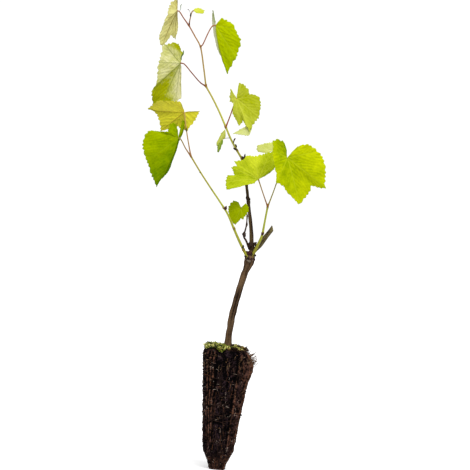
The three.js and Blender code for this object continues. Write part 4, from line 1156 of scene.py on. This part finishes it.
def growMoss(name, kind):
    # tufts of narrow closed leaves, each a foot, a flat waist of four points and a tip, fanned round its
    # stem
    rng = np.random.default_rng(kind["seed"])
    tries = kind["count"] * 30
    x, y = rng.uniform(-29.5, 29.5, (2, tries))
    inside = (squareRadius(x, y) < mossBed["rim"]) & (x < mossBed["rightEnd"])
    likely = np.exp(-((x - kind["heart"]) / 16) ** 2 - ((topNoise(x, y, 17, 934) - kind["band"]) / 0.14) ** 2)
    likely = likely * np.clip(mossAmount(x, y), 0.15, 1)
    keep = np.flatnonzero(inside & (rng.random(tries) < likely))[:kind["count"]]
    x, y = x[keep], y[keep]
    tufts, each = len(keep), mossBed["leaves"]
    edge = np.clip((squareRadius(x, y) - 26.5) / 3, 0, 1)
    hang = 3 + 5 * np.exp(-((x + 12) / 7) ** 2)   # the clump over the rim left of the stem hangs lowest
    z = topHeight(x, y) - hang * edge * rng.random(tufts) + 0.3
    around = rng.uniform(0, 2 * np.pi, (tufts, 1)) + np.arange(each)[None] * 2.4
    tilt = rng.uniform(0.3, 1.15, (tufts, each))
    axis = np.stack([np.sin(tilt) * np.cos(around), np.sin(tilt) * np.sin(around), np.cos(tilt)], axis=-1)
    outward = np.stack([x, y, 0 * x], -1) / 29
    axis = unit(axis + 0.6 * (outward * edge[:, None])[:, None])
    side = unit(np.cross(axis, [0.2, 0.1, 1.0]))
    flat = np.cross(side, axis)
    long = rng.uniform(*kind["long"], (tufts, each, 1))
    foot = np.stack([x, y, z], -1)[:, None] + rng.normal(0, 0.35, (tufts, each, 3)) * [1, 1, 0.6]
    waist = foot + axis * long * 0.45
    wide, thin = long * mossBed["wide"], long * mossBed["thin"]
    tip = foot + axis * long
    vertices = np.stack([foot, waist + side * wide, waist + flat * thin, waist - side * wide,
                         waist - flat * thin, tip], axis=2)
    k = np.arange(4)
    after = 1 + (k + 1) % 4
    shape = np.concatenate([np.stack([0 * k, after, 1 + k], -1), np.stack([0 * k + 5, 1 + k, after], -1)])
    faces = (np.arange(tufts * each) * 6)[:, None, None] + shape
    # damp moss leaf: one plain colour to a kind of tuft, slightly shiny
    material = newMaterial("dampMoss_" + name, {"Base Color": linear(kind["hue"]), "Roughness": 0.6,
                                                "Specular IOR Level": 0.15})[0]
    putMesh(name, vertices, [faces.reshape(-1, 3)], material, "root_plug")


buildPlug()
for name, roots in fineRoots.items():
    layRoots(name, roots)
hangHairs("hairRoots", rootHairs)
for name, kind in specks.items():
    scatterSpecks(name, kind)
for name, kind in moss.items():
    growMoss(name, kind)
print("stage: root plug and moss")
